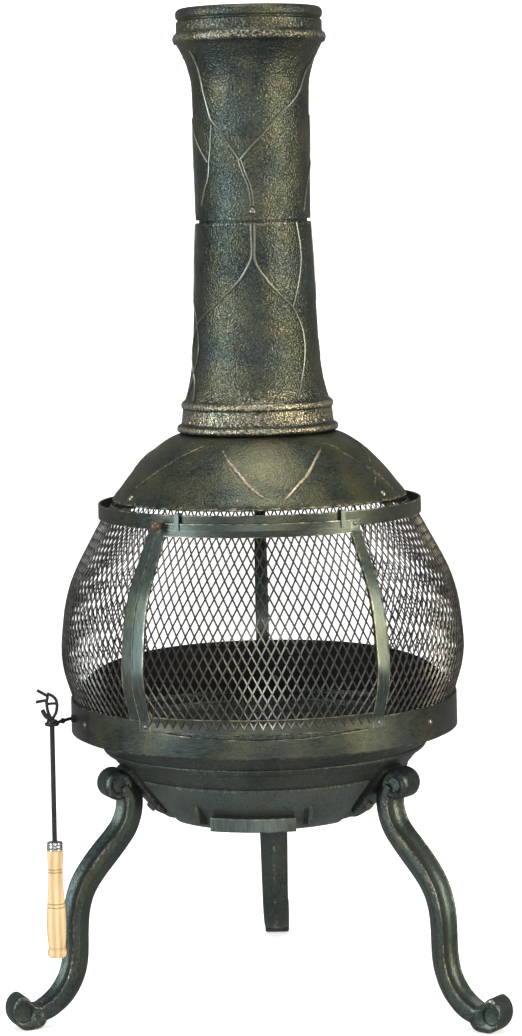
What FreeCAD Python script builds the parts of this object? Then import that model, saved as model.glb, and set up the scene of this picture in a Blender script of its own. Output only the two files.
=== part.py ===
import FreeCAD, Part
import Sketcher
import os, math
from FreeCAD import Vector, Placement, Rotation

# Chiminea: a free-standing garden fireplace.  Three cast cabriole legs carry a
# fire bowl; a barrel-shaped expanded-metal cage with a sliding door stands on
# the bowl, and a dome with a two-piece stack closes the top.
# Millimetres, +Z up.  The origin is the bottom centre of the bounding box; the
# stack's own axis stands at (axisX, axisY), because the three legs are not
# symmetric about it.  -Y is the front, where the door is.

doc = FreeCAD.newDocument("chiminea")
sheet = doc.addObject("Spreadsheet::Sheet", "Sizes")
CELLS = [
    ("axisX", 15.4), ("axisY", -40.8),
    ("wallCast", 4.0), ("strapThick", 2.5), ("meshThick", 1.2),
    ("ringLow", 311.0), ("ringTop", 349.0), ("ringOuter", 222.7),
    ("hoopLow", 555.0), ("hoopTop", 572.0), ("hoopOuter", 186.5),
    ("railLow", 338.0), ("railTop", 355.0), ("headLow", 548.0), ("headTop", 563.0),
    ("doorGap", 3.6), ("doorLeft", -37.4), ("doorRight", 35.6), ("stileAngle", 4.0),
    ("bowlFloor", 214.0), ("bowlFoot", 110.0), ("bowlSlope", 0.857),
    ("domeEdge", 575.5), ("domeTop", 650.0), ("domeRim", 170.0),
    ("jointLow", 892.0), ("jointTop", 895.4), ("neckTop", 920.0), ("neckOuter", 62.8),
    ("stackTop", 1140.0),
    ("legWidth", 34.0), ("legLeft", -66.0), ("legRight", 54.0), ("legRear", 178.0),
    ("screwShank", 2.5), ("screwHead", 4.2), ("boltShank", 3.0), ("boltFlats", 10.0),
    ("rodRadius", 2.75), ("handleLength", 128.0), ("pokerX", -237.0), ("pokerY", -122.0),
    ("hookHeight", 332.0), ("headHeight", 341.6), ("grateRadius", 96.0), ("grateHeight", 262.0),
]
for i, (name, value) in enumerate(CELLS):
    sheet.set("A%d" % (i + 1), name)
    sheet.set("B%d" % (i + 1), repr(value))
    sheet.setAlias("B%d" % (i + 1), name)
doc.recompute()


def cell(name):
    return float(sheet.get(name))


AX, AY = cell("axisX"), cell("axisY")
PARTS = []          # objects that become files


def place(obj, turn=0.0):
    """Stand the object on the stack's axis, turned about it."""
    obj.Placement = Placement(Vector(AX, AY, 0), Rotation(Vector(0, 0, 1), turn))
    obj.setExpression("Placement.Base.x", "Sizes.axisX")
    obj.setExpression("Placement.Base.y", "Sizes.axisY")


def keep(obj, label):
    obj.Label = label
    PARTS.append(obj)
    return obj


def plane(body, role):
    for f in body.Origin.OriginFeatures:
        if f.Role == role:
            return f


def num(v):
    """A coordinate is a number, or an expression on the sheet's cells."""
    if isinstance(v, str):
        return float(reckon(v))
    return float(v)


def reckon(text):
    # expressions are sums of cells and numbers, written "cell + 1.5 - cell"
    total, sign = 0.0, 1.0
    for word in text.split():
        if word == "+":
            sign = 1.0
        elif word == "-":
            sign = -1.0
        else:
            total += sign * (cell(word) if word[0].isalpha() else float(word))
    return total


def bound(text):
    return " ".join("Sizes." + w if w[0].isalpha() else w for w in text.split())


def sketch_loop(body, name, loop):
    """A closed profile in the XZ plane.  A vertex is (r, z); a list of
    vertices inside the loop is a smooth curve through them."""
    sk = body.newObject("Sketcher::SketchObject", name)
    sk.AttachmentSupport = [(plane(body, "XZ_Plane"), "")]
    sk.MapMode = "FlatFace"
    pts = []            # flattened: (kind, points)
    cur = None
    edges = []
    first = None
    for item in loop:
        if isinstance(item, list):
            vs = [Vector(num(a), num(b), 0) for a, b in item]
            if cur is not None and (cur - vs[0]).Length > 1e-6:
                edges.append(("line", [cur, vs[0]]))
            edges.append(("curve", vs))
            if first is None:
                first = vs[0]
            cur = vs[-1]
        else:
            v = Vector(num(item[0]), num(item[1]), 0)
            if cur is not None:
                edges.append(("line", [cur, v], item))
            if first is None:
                first = v
            cur = v
    if (cur - first).Length > 1e-6:
        edges.append(("line", [cur, first], loop[0] if not isinstance(loop[0], list) else None))
    for e in edges:
        if e[0] == "line":
            g = sk.addGeometry(Part.LineSegment(e[1][0], e[1][1]), False)
        else:
            c = Part.BSplineCurve()
            c.interpolate(e[1])
            g = sk.addGeometry(c, False)
    # the straight corners are held to their cells
    if all(e[0] == "line" for e in edges):
        n = len(edges)
        for i in range(n):
            sk.addConstraint(Sketcher.Constraint("Coincident", i, 2, (i + 1) % n, 1))
        for i, e in enumerate(edges):
            spec = e[2] if len(e) > 2 else None
            v = e[1][1]
            cx = sk.addConstraint(Sketcher.Constraint("DistanceX", -1, 1, i, 2, v.x))
            cz = sk.addConstraint(Sketcher.Constraint("DistanceY", -1, 1, i, 2, v.y))
            if spec is not None:
                if isinstance(spec[0], str):
                    sk.setExpression("Constraints[%d]" % cx, bound(spec[0]))
                if isinstance(spec[1], str):
                    sk.setExpression("Constraints[%d]" % cz, bound(spec[1]))
    return sk


def turned(label, loop, angle=360.0, start=0.0, final=True):
    """A profile revolved about the axis.  angle and start are degrees from
    the front (-Y), positive towards +X; the sector begins at start."""
    body = doc.addObject("PartDesign::Body", label + "_body")
    sk = sketch_loop(body, label + "_profile", loop)
    rev = body.newObject("PartDesign::Revolution", label + "_turn")
    rev.Profile = sk
    rev.ReferenceAxis = (sk, ["V_Axis"])
    rev.Angle = angle
    doc.recompute()
    # the sketch lies in the plane y = 0, which is 90 degrees from the front
    turn = start - 90.0
    if angle < 359.9:
        c = rev.Shape.BoundBox.Center
        got = math.degrees(math.atan2(c.y, c.x))
        if got < -1e-6:                  # the sector grew clockwise
            turn = start - 90.0 + angle
    place(body, turn)
    doc.recompute()
    sk.Visibility = False
    if final:
        keep(body, label)
    else:
        body.Label = label + "_blank"
    return body


def radial(phi):
    a = math.radians(phi)
    return Vector(math.sin(a), -math.cos(a), 0)


def tangent(phi):
    a = math.radians(phi)
    return Vector(math.cos(a), math.sin(a), 0)


AXIS = Vector(AX, AY, 0)


def at(r, z, phi, side=0.0):
    return AXIS + radial(phi) * r + tangent(phi) * side + Vector(0, 0, z)


def lean(phi, up):
    """Outward direction that points up by `up` degrees."""
    a = math.radians(up)
    return radial(phi) * math.cos(a) + Vector(0, 0, math.sin(a))


def feature(label, shape, final=True):
    f = doc.addObject("Part::Feature", label + "_shape")
    f.Shape = shape
    f.Placement = Placement()
    if final:
        keep(f, label)
    else:
        f.Label = label
    return f


def cut(label, base, tool_shape):
    tool = feature(label + "_tool", tool_shape, final=False)
    c = doc.addObject("Part::Cut", label + "_cut")
    c.Base, c.Tool = base, tool
    doc.recompute()
    keep(c, label)
    return c


def many(shapes):
    return Part.makeCompound(shapes)


def drill(points, rr, back, ahead):
    """Drilled holes: (point, outward direction) pairs."""
    return [Part.makeCylinder(rr, back + ahead, p - d * back, d) for p, d in points]


def screw(p, d, shank, head, length, nut=True):
    """Round-head screw: dome head outside at p, shank inwards along -d."""
    ax = Part.makeCylinder(shank, length + 0.5, p - d * length, d)
    h = 0.62 * head
    rad = (head * head + h * h) / (2 * h)
    ball = Part.makeSphere(rad, p + d * (h - rad))
    slab = Part.makeCylinder(head, h + 1, p + d * 0.12, d)
    return ax.fuse(ball.common(slab)).removeSplitter()


def hexagon(p, d, flats, height, bore=0.0):
    rr = flats / math.sqrt(3)
    x = d.cross(Vector(0, 0, 1))
    if x.Length < 1e-6:
        x = Vector(1, 0, 0)
    x.normalize()
    y = d.cross(x)
    vs = [p + (x * math.cos(k * math.pi / 3) + y * math.sin(k * math.pi / 3)) * rr for k in range(6)]
    prism = Part.Face(Part.makePolygon(vs + [vs[0]])).extrude(d * height)
    if bore:
        prism = prism.cut(Part.makeCylinder(bore, height + 2, p - d, d))
    return prism


# ---------------------------------------------------------------- fire bowl
slope = cell("bowlSlope")


def cone_r(z):
    """The bowl's outer wall."""
    return 173.0 + slope * (z - 278.0)


up_wall = math.degrees(math.atan2(-slope, 1.0))      # the wall's outward normal
WN = (math.cos(math.radians(up_wall)), math.sin(math.radians(up_wall)))
foot_r = cell("bowlFoot")
z0 = cell("bowlFloor")
w = cell("wallCast")
bowl = turned("bowl_casting", [
    (0, "bowlFloor"),
    [("bowlFoot", "bowlFloor"), (115.0, 215.2), (119.0, 217.4), (cone_r(221), 221)],
    (cone_r(285), 285), (cone_r(286.5) + 3.2, 286.0), (cone_r(291) + 3.2, 291.0), (cone_r(293), 293.0),
    (cone_r(306), 306), (218.2, 309.0), (218.2, 345.0), (214.7, 345.0), (214.7, 312.5),
    (cone_r(306) - 4.5, 309.5),
    (cone_r(306) - 6.0, 306),
    [(cone_r(226) - 5.5, 226.0), (115.6, 221.4), (110.5, 219.0), (104.0, 218.0)],
    (0, 218.0),
], final=False)
# three smooth raised panels between the legs, with a ledge at their top
panels = []
for mid in (-6.0, 114.0, 236.0):
    pad = turned("panel_%d" % int(mid + 6), [
        (cone_r(266) - 1.0, 266.0), (cone_r(266) + 2.4, 266.0), (cone_r(264) + 3.2, 263.6),
        (cone_r(223) + 3.3, 223.0),
        (119.5, 215.0), (112.0, 211.6), (90.0, 211.6), (90.0, 214.5),
        (110.0, 214.5), (116.0, 216.5), (cone_r(222) - 1.0, 222.0),
    ], angle=100.0, start=mid - 50.0, final=False)
    panels.append(pad)
# a draught block with a gusset at each end, at the front of the underside
block_outer = Part.makeCylinder(146.0, 15.5, Vector(AX, AY, 216.0), Vector(0, 0, 1))
block_inner = Part.makeCylinder(118.0, 30.0, Vector(AX, AY, 205.0), Vector(0, 0, 1))
side = Part.makeBox(96, 60, 40, Vector(-48, -150, 205))
side.Placement = Placement(AXIS, Rotation(Vector(0, 0, 1), -6.3)) * side.Placement
block = block_outer.cut(block_inner).common(side)
gussets = []
for s in (-1, 1):
    phi = -6.3 + s * 25.2
    p = [at(132.0, 247.0, phi), at(147.0, 243.5, phi), at(142.0, 222.0, phi), at(118.0, 217.0, phi)]
    face = Part.Face(Part.makePolygon(p + [p[0]]))
    gussets.append(face.extrude(tangent(phi) * (5.0 * s)))
inside = Part.makeCone(max(cone_r(214) - 3.0, 1), cone_r(310) - 3.0, 96.0, Vector(AX, AY, 214.0), Vector(0, 0, 1))
trim = many([block.cut(inside)] + [g.cut(inside) for g in gussets])
bowl_all = doc.addObject("Part::MultiFuse", "bowl_union")
lug_objs = []
for i, sol in enumerate(trim.Solids):
    lug_objs.append(feature("bowl_lug_%d" % i, sol, final=False))
bowl_all.Shapes = [bowl] + panels + lug_objs
bowl_all.Refine = True
doc.recompute()

LEGS = [("left", cell("legLeft")), ("right", cell("legRight")), ("rear", cell("legRear"))]
BZ_LOW, BZ_UP = 236.0, 256.0
low_pts = [(at(cone_r(BZ_LOW), BZ_LOW, phi), lean(phi, up_wall)) for _, phi in LEGS]
up_pts = [(at(cone_r(BZ_UP), BZ_UP, phi), lean(phi, up_wall)) for _, phi in LEGS]
ring_pts = [(at(cell("ringOuter"), 331.0, phi), radial(phi)) for phi in (-65.0, 56.0, 176.0)]
HOOK_PHI = -76.0
hook_pt = (at(cell("ringOuter"), cell("hookHeight"), HOOK_PHI), radial(HOOK_PHI))
bs, ss = cell("boltShank"), cell("screwShank")
fire_bowl = cut("fire_bowl", bowl_all, many(
    drill(low_pts + up_pts, bs + 0.15, 12, 3) + drill(ring_pts, ss + 0.1, 12, 3) + drill([hook_pt], 2.0, 12, 3)))

# ---------------------------------------------------------------- ring band
rt = cell("strapThick")
band = turned("ring_strip", [
    ("ringOuter - strapThick", "ringLow"), ("ringOuter", "ringLow"),
    ("ringOuter", "ringTop"), ("ringOuter - strapThick", "ringTop")], final=False)
# the top edge dips behind the door's sill
dip = Part.makeCylinder(1322.0, 120.0, at(0, 332.5 + 1322.0, 0) + Vector(0, -260, 0), Vector(0, 1, 0))
window = Part.makeBox(236.0, 120.0, 40.0, Vector(AX - 118.0, AY - 260.0, 325.0))
ring_band = cut("ring_band", band, many(
    [dip.common(window)] + drill(ring_pts, ss + 0.1, 12, 3) + drill([hook_pt], 2.0, 12, 3)))

# ---------------------------------------------------------------- ash guard
# a sheet standing inside the rear half of the rim, higher at the back
guard_blank = turned("guard_strip", [(213.2, 318.0), (214.7, 318.0), (214.7, 380.0), (213.2, 380.0)],
                     angle=180.0, start=90.0, final=False)
crown = Part.makeBox(500, 260, 120, Vector(AX - 250, AY - 5, 300)).cut(
    Part.makeCylinder(1008.0, 500.0, Vector(AX - 250, AY + 240.2, -630.0), Vector(1, 0, 0)))
cut("ash_guard", guard_blank, many([crown] + drill(ring_pts, ss + 0.1, 14, 3)))

# ------------------------------------------------------------- cage profile
# outer face of the expanded-metal sheet: (r, z)
CAGE = [(219.8, 349), (222.0, 356), (225.0, 365), (227.9, 374), (230.2, 383.6), (231.6, 393), (232.2, 402),
        (231.9, 411), (231.2, 420), (230.2, 430), (228.2, 448), (224.6, 466), (218.9, 484.6), (210.4, 503),
        (200.6, 521), (190.6, 539.6), (182.0, 555), (177.6, 562), (170.4, 571.0)]


def lay(rows, off):
    return [(r + off, float(z)) for r, z in rows]


mt = cell("meshThick")
cage_loop = [
    (219.8, 318.0), lay(CAGE, 0.0),
    lay(CAGE[::-1], -mt), (219.8 - mt, 318.0)]
left_sheet = turned("left_sheet", cage_loop, angle=139.7, start=-177.9, final=False)
right_sheet = turned("right_sheet", cage_loop, angle=144.7, start=33.2, final=False)
for name, blank in (("left_screen", left_sheet), ("right_screen", right_sheet)):
    cut(name, blank, many(drill(ring_pts, ss + 0.1, 12, 3) + drill([hook_pt], 2.0, 12, 3)))

POST = [(r, z) for r, z in CAGE if 349 <= z <= 555]
post_loop = [lay(POST, 0.3), lay(POST[::-1], 0.3 + rt)]
for name, start, ang in (("left_post", -41.6, 4.0), ("right_post", 31.8, 4.0), ("rear_post", 178.0, 4.0)):
    turned(name, post_loop, angle=ang, start=start)

# ---------------------------------------------------------------- top hoop
turned("top_hoop", [
    ("hoopOuter - strapThick", "hoopLow"), ("hoopOuter", "hoopLow"),
    ("hoopOuter", "hoopTop"), ("hoopOuter - strapThick", "hoopTop")])

# --------------------------------------------------------------------- dome
DOME = [(170.0, 575.5), (166.9, 581), (162.9, 585.8), (159.4, 590), (152.5, 599.3), (145.0, 608.4), (136.4, 617.6),
        (127.1, 626.8), (115.6, 636), (104.0, 643.6), (93.0, 648.6), (84.6, 650.6)]
DIN = [(81.0, 647.6), (92.0, 645.6), (102.2, 641.0), (113.6, 633.6), (124.9, 624.5), (134.1, 615.4), (142.6, 606.3),
       (150.0, 597.2), (156.9, 588.0), (160.3, 583.8), (164.2, 579.2), (167.2, 574.5)]
DOME_SCREWS = (-62.0, 58.0, 178.0)
dome_blank = turned("dome_pressing", [
    DOME, (84.0, 651.5), (84.0, 674.0), (81.0, 674.0), DIN], final=False)


def dome_pt(phi, z):
    """Point on the dome and its outward normal."""
    for (r1, z1), (r2, z2) in zip(DOME, DOME[1:]):
        if z1 <= z <= z2:
            t = (z - z1) / (z2 - z1)
            up = math.degrees(math.atan2(r1 - r2, z2 - z1))
            return at(r1 + (r2 - r1) * t, z, phi), lean(phi, up)


dome_pts = [dome_pt(phi, 583.4) for phi in DOME_SCREWS]
collar_pts = [(at(88.05, 664.5, phi), radial(phi)) for phi in (-61.0, -1.0, 59.0, 119.0, 179.0, 239.0)]
dome = cut("dome", dome_blank, many(
    drill(dome_pts, ss + 0.1, 12, 3) + drill(collar_pts, ss + 0.1, 14, 3)))
# brackets that hang the hoop from the dome's rim
bl = [(182.0, 556.5), (183.8, 556.5), (183.8, 566.4), (168.4, 573.7), (165.4, 574.2),
      (161.0, 581.0), (157.6, 585.2), (156.2, 583.9), (159.6, 579.6), (164.2, 572.2), (168.0, 572.1), (182.0, 565.4)]
brackets = []
for i, phi in enumerate(DOME_SCREWS):
    b = turned("bracket_%d" % i, bl, angle=5.0, start=phi - 2.5, final=False)
    brackets.append(b)
doc.recompute()
br = many([b.Shape.cut(many(drill([p], ss + 0.1, 14, 3))).Solids[0] for b, p in zip(brackets, dome_pts)])
feature("dome_brackets", br)

# ------------------------------------------------------------------- stack
turned("lower_stack_blank", [
    (84.3, 651.6), (90.8, 651.6),
    [(90.8, 651.6), (92.6, 653.0), (93.2, 655.6), (92.6, 658.2), (90.4, 659.8)],
    (88.0, 661.0), (87.3, 668.0), (86.2, 678.0),
    [(86.2, 678.0), (87.4, 679.6), (88.0, 682.6), (87.0, 685.6), (84.6, 687.4)],
    [(84.6, 687.4), (82.0, 692.0), (77.6, 710), (74.2, 733), (72.5, 756), (71.6, 779), (70.5, 802),
     (69.4, 825.6), (68.7, 848.7), (67.7, 871.8), (66.7, 892.0)],
    ("neckOuter", "jointLow"), ("neckOuter", "neckTop"), (59.3, 920.0),
    [(59.3, 900.0), (62.0, 871.0), (64.9, 825), (67.2, 779), (69.7, 733), (72.8, 710), (76.8, 694.0)],
    (84.3, 676.5),
], final=False)
low_blank = [o for o in doc.Objects if o.Label == "lower_stack_blank_blank"][0]
joint_pts = [(at(66.6, 904.5, phi), radial(phi)) for phi in (-0.5, 119.5, 239.5)]
cut("lower_stack", low_blank, many(drill(collar_pts, ss + 0.1, 8, 3) + drill(joint_pts, ss + 0.1, 12, 3)))

up_blank = turned("upper_stack_blank", [
    ("neckOuter + 0.25", "jointTop"), (66.6, 895.4),
    [(66.6, 895.4), (66.7, 930), (67.1, 987), (67.4, 1020), (68.4, 1052), (71.6, 1068), (75.4, 1080.5),
     (79.0, 1088), (82.6, 1095), (84.6, 1098.4)],
    [(84.6, 1098.4), (87.6, 1100.0), (89.0, 1104.6), (88.0, 1109.2), (85.4, 1111.4)],
    (84.6, 1113.4), (84.6, 1124.0), (82.6, 1125.6), (82.6, 1127.2),
    [(82.6, 1127.2), (84.4, 1128.6), (85.2, 1132.0), (84.6, 1136.6), (82.0, 1139.3), (79.6, 1140.0)],
    (77.6, 1140.0), (77.6, 1128.0),
    [(77.6, 1104.0), (74.4, 1090.0), (69.0, 1076.0), (64.4, 1060.0), (62.6, 1040.0)],
    (62.4, 1010.0), (60.4, 990.0), (60.4, 920.0), ("neckOuter + 0.25", "neckTop"),
], final=False)
cut("upper_stack", up_blank, many(drill(joint_pts, ss + 0.1, 12, 3)))

# --------------------------------------------------------------------- door
dg = cell("doorGap")
FLOOR_R = cell("ringOuter") + 0.6
HEAD_R = cell("hoopOuter") + 0.7
DOOR = [(r + dg, z) for r, z in CAGE if 356 <= z <= 542]
door_face = [(FLOOR_R, 338.0), (FLOOR_R, 346.0)] + [(FLOOR_R + 0.6, 351.5)] + DOOR[0:] + \
            [(191.3, 545.0), (189.9, 547.5), (188.7, 550.0), (187.8, 552.6), (HEAD_R, 556.0), (HEAD_R, 563.0)]
stile_in = [p for p in door_face]
stile_loop = [stile_in, [(r + rt, z) for r, z in stile_in[::-1]]]
dl, dr, sa = cell("doorLeft"), cell("doorRight"), cell("stileAngle")
d0, dw = dl + sa, dr - dl - 2 * sa
rivet_pts = [(at(FLOOR_R + rt, 343.0, dl + sa / 2), radial(dl + sa / 2)), (at(FLOOR_R + rt, 343.0, dr - sa / 2), radial(dr - sa / 2)),
             (at(HEAD_R + rt, 558.5, dr - sa / 2), radial(dr - sa / 2))]
for name, start in (("door_left_stile", dl), ("door_right_stile", dr - sa)):
    blank = turned(name + "_strip", stile_loop, angle=sa, start=start, final=False)
    cut(name, blank, many(drill(rivet_pts, 1.6, 6, 3)))
sill_loop = [("ringOuter + 0.6", "railLow"), ("ringOuter + 0.6 + strapThick", "railLow"),
             ("ringOuter + 0.6 + strapThick", 349.0), ("ringOuter + 2.5 + strapThick", "railTop"),
             ("ringOuter + 2.5", "railTop"), ("ringOuter + 0.6", 349.0)]
turned("door_bottom_rail", sill_loop, angle=dw, start=d0)
turned("door_top_rail", [
    ("hoopOuter + 0.7", 555.0), ("hoopOuter + 0.7", "headTop"), ("hoopOuter + 0.7 + strapThick", "headTop"),
    ("hoopOuter + 0.7 + strapThick", 555.0), ("hoopOuter + 3.2 + strapThick", "headLow"),
    ("hoopOuter + 3.2", "headLow")], angle=dw, start=d0)
pane = [(r, z) for r, z in door_face if 355 < z < 548]
pane = [(FLOOR_R + 1.9, 355.0)] + [p for p in pane if p[1] > 356.5] + [(189.7, 548.0)]
turned("door_mesh", [
    [(r + 0.5, z) for r, z in pane], [(r + 0.5 + mt, z) for r, z in pane[::-1]]], angle=dw, start=d0)
# two hooks carry the door on the hoop's top edge
hk = HEAD_R + rt
hook_loop = [(hk, 555.3), (hk + 1.6, 555.3), (hk + 1.6, 573.9), (182.1, 573.9), (182.1, 569.4), (183.7, 569.4),
             (183.7, 572.3), (hk, 572.3)]
hooks = [turned("door_hook_%d" % i, hook_loop, angle=1.6, start=phi - 0.8, final=False) for i, phi in enumerate((-28.8, 28.8))]
doc.recompute()
feature("door_hooks", many([h.Shape.Solids[0] for h in hooks]))
# a small round pull at the top of the left stile
feature("door_rivets", many([screw(p, d, 1.55, 3.0, 2.4) for p, d in rivet_pts]))
kp, kd = at(HEAD_R + rt, 560.0, dl + sa / 2), radial(dl + sa / 2)
pull = Part.makeCylinder(2.4, 5.0, kp + kd * 0.02, kd).fuse(Part.makeSphere(6.0, kp + kd * 9.5)).removeSplitter()
feature("door_pull", pull)

# --------------------------------------------------------------------- legs
LW = cell("legWidth")
SPINE = [  # centre of the leg in its own radial plane: r, z, depth
    (176.0, 264.0, 22.0), (170.5, 255.0, 25.0), (167.2, 246.0, 26.0), (166.3, 237.0, 26.0), (168.5, 223.5, 26.0),
    (174.5, 209.5, 26.5), (184.2, 197.2, 27.0), (195.2, 185.4, 28.0), (206.3, 173.4, 28.0), (216.6, 161.0, 27.5),
    (224.6, 148.6, 27.0), (229.8, 136.0, 26.2), (233.0, 123.0, 26.0), (234.5, 110.0, 25.8), (235.1, 97.0, 25.5),
    (235.4, 83.0, 25.5), (236.4, 70.0, 25.8), (238.9, 57.5, 25.8), (243.6, 45.8, 25.2), (250.6, 35.4, 24.4),
    (259.6, 26.6, 22.8), (270.6, 19.8, 20.6), (283.0, 15.2, 18.0)]


def leg_wires(phi):
    wires = []
    n = len(SPINE)
    for i, (r, z, d) in enumerate(SPINE):
        a, b = SPINE[max(i - 1, 0)], SPINE[min(i + 1, n - 1)]
        tr, tz = b[0] - a[0], b[1] - a[1]
        ln = math.hypot(tr, tz)
        nr, nz = -tz / ln, tr / ln               # points outwards (away from the axis)
        if i == n - 1:
            nr, nz = 0.36, 0.933
        k = 1.12 - 0.24 * i / (n - 1.0)           # the leg narrows towards the foot
        hw = LW / 2 * k
        lip = 3.2 * k
        box = min(max((i - 17.0) / (n - 18.0), 0.0), 1.0)   # the keel broadens into the toe
        # house section: fluted outer face between two lips, flat sides, V keel
        sec = [(0.5 * d, hw), (0.5 * d, hw - lip), (0.5 * d - 7.0 * k, 0.42 * hw), (0.5 * d - 7.0 * k, -0.42 * hw),
               (0.5 * d, -(hw - lip)), (0.5 * d, -hw), ((0.14 - 0.5 * box) * d, -hw), (-0.5 * d, -1.2 - 0.8 * box * hw),
               (-0.5 * d, 1.2 + 0.8 * box * hw), ((0.14 - 0.5 * box) * d, hw)]
        vs = [at(r + nr * u, z + nz * u, phi, v) for u, v in sec]
        wires.append(Part.makePolygon(vs + [vs[0]]))
    return wires


TOE = [  # side outline of the upturned toe
    (279.5, 7.6), (284.0, 2.4), (290.0, 0.0), (304.0, 0.0), (309.5, 3.0), (315.5, 9.6), (318.8, 18.4),
    (318.0, 28.0), (313.4, 35.2), (306.5, 38.4), (300.5, 35.6), (295.4, 29.0), (290.0, 25.2), (281.0, 24.0)]


bowl_core = Part.makeCone(cone_r(200) + 0.25, cone_r(312) + 0.25, 112.0, Vector(AX, AY, 200.0), Vector(0, 0, 1))
under = Part.makeBox(900, 900, 30, Vector(-450, -450, -30))
for name, phi in LEGS:
    bar = Part.makeLoft(leg_wires(phi), True, False)
    tv = [at(r, z, phi, -14.6) for r, z in TOE]
    toe = Part.Face(Part.makePolygon(tv + [tv[0]])).extrude(tangent(phi) * 29.2)
    dishes = [Part.makeCylinder(9.6, 6.0, at(305.8, 19.2, phi, e), tangent(phi)) for e in (-16.6, 10.6)]
    toe = toe.cut(many(dishes))
    head = Part.makeCylinder(17.0, 36.0, at(187.0, 261.5, phi, -18.0), tangent(phi))
    head = head.makeFillet(8.0, [e for e in head.Edges if e.Curve.TypeId == "Part::GeomCircle"])
    pr = [(cone_r(281) + 0.25, 281.0), (cone_r(226) + 0.25, 226.0)]
    pr += [(pr[1][0] + 6 * WN[0], 226 + 6 * WN[1]), (pr[0][0] + 6 * WN[0], 281 + 6 * WN[1])]
    vs = [at(r, z, phi - 6.6) for r, z in pr]
    plate = Part.Face(Part.makePolygon(vs + [vs[0]])).revolve(AXIS, Vector(0, 0, 1), 13.2)
    leg = bar.fuse([toe, head, plate]).cut(many([bowl_core, under]))
    holes = drill([(at(cone_r(BZ_LOW), BZ_LOW, phi), lean(phi, up_wall))], bs + 0.15, 3, 12)
    holes += drill([(at(cone_r(BZ_UP), BZ_UP, phi), lean(phi, up_wall))], bs + 0.05, 3, 17.3)
    leg = leg.cut(many(holes))
    if len(leg.Solids) > 1:
        leg = max(leg.Solids, key=lambda s: s.Volume)
    feature("leg_" + name, leg)

# ---------------------------------------------------------------- fasteners
seat = 6.0 + 0.25 + 0.05
feature("leg_bolts", many([
    hexagon(p + d * seat, d, cell("boltFlats"), 4.0).fuse(Part.makeCylinder(bs, seat + 14.0, p - d * 13.5, d)).removeSplitter()
    for p, d in low_pts]))
feature("leg_studs", many([
    hexagon(p - d * 4.6, d * -1.0, cell("boltFlats"), 4.0).fuse(Part.makeCylinder(bs, 21.0, p - d * 5.0, d)).removeSplitter()
    for p, d in up_pts]))
feature("leg_nuts", many([hexagon(p - d * 4.6, d * -1.0, cell("boltFlats"), 5.0, bore=bs + 0.05) for p, d in low_pts]))
sh = cell("screwHead")
feature("ring_screws", many([screw(p, d, ss, sh, 12.0) for p, d in ring_pts]))
feature("ring_nuts", many([hexagon(p - d * g, d * -1.0, 7.0, 2.2, bore=ss + 0.05)
                           for (p, d), g in zip(ring_pts, (8.3, 8.3, 9.7))]))
feature("dome_screws", many([screw(p + d * 0.1, d, ss, sh, 11.0) for p, d in dome_pts]))
feature("collar_screws", many([screw(p + d * 0.1, d, ss, 3.4, 9.5) for p, d in collar_pts]))
feature("stack_screws", many([screw(p + d * 0.1, d, ss, sh, 9.5) for p, d in joint_pts]))

# ------------------------------------------------------------- poker + hook
PX, PY = cell("pokerX"), cell("pokerY")
PR = math.hypot(PX, PY)
hz = cell("hookHeight")


def wire_tube(points, radius):
    """Round bar through points: straight runs with ball corners."""
    out = None
    for a, b in zip(points, points[1:]):
        c = Part.makeCylinder(radius, (b - a).Length, a, b - a)
        out = c if out is None else out.fuse(c)
    for p in points[1:-1]:
        out = out.fuse(Part.makeSphere(radius, p))
    return out.removeSplitter()


# the hook: a threaded wire through the ring band, bent forwards to an open eye
HOOK_Z = hz + 6.0
ex = radial(HOOK_PHI)
eye_c = AXIS + Vector(PX, PY, HOOK_Z)
EYE_R, WIRE = 6.4, 1.9
elbow = at(229.0, hz, HOOK_PHI)
reach = elbow - eye_c
stem = wire_tube([at(208.0, hz, HOOK_PHI), elbow, eye_c + reach * (EYE_R / reach.Length)], WIRE)
mouth = Part.makeBox(30, 7.2, 12, Vector(0, -3.6, -6))
mouth.Placement = Placement(eye_c, Rotation(Vector(0, 0, 1), 190.0))
hook = Part.makeTorus(EYE_R, WIRE, eye_c, Vector(0, 0, 1)).cut(mouth).fuse(stem).removeSplitter()
feature("poker_hook", hook)
feature("hook_nuts", many([
    hexagon(at(222.75, hz, HOOK_PHI), ex, 8.0, 3.6, bore=WIRE + 0.05),
    hexagon(at(214.6, hz, HOOK_PHI), ex * -1.0, 8.0, 3.6, bore=WIRE + 0.05)]))
HEAD_Z = cell("headHeight")


def pk(dx, dz, dy=0.0):
    """A point in the poker's own plane: dx to the right, dz above its neck."""
    return Vector(AX + PX + dx, AY + PY + dy, HEAD_Z + dz)


rr = cell("rodRadius")
neck = -1.4
tail = 341.6 - 165.0
rod = Part.makeCylinder(rr, tail + 2.5, pk(0, -tail), Vector(0, 0, 1))
claw_r = wire_tube([pk(0, 2.5), pk(3.4, 6.4), pk(5.4, 11.5), pk(6.0, 18.3), pk(4.6, 24.0), pk(0.5, 28.0), pk(-5.0, 30.6)], 1.75)
claw_l = wire_tube([pk(0, 2.5), pk(-3.4, 8.0), pk(-5.0, 14.3), pk(-5.5, 21.2), pk(-4.6, 27.6), pk(-16.0, 34.4)], 1.75)
claw_m = wire_tube([pk(-5.4, 22.6), pk(-17.4, 21.2)], 1.75)
claw_b = wire_tube([pk(0, 2.5), pk(-5.4, 4.2), pk(-10.5, 12.3)], 2.6)
cross = wire_tube([pk(-5.4, 18.7), pk(5.8, 19.3)], 1.5)
collar = Part.makeCylinder(6.2, 2.6, pk(0, neck), Vector(0, 0, 1))
poker = rod.fuse([claw_r, claw_l, claw_m, claw_b, cross, collar]).removeSplitter()
feature("poker_rod", poker)
HL = cell("handleLength")
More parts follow.
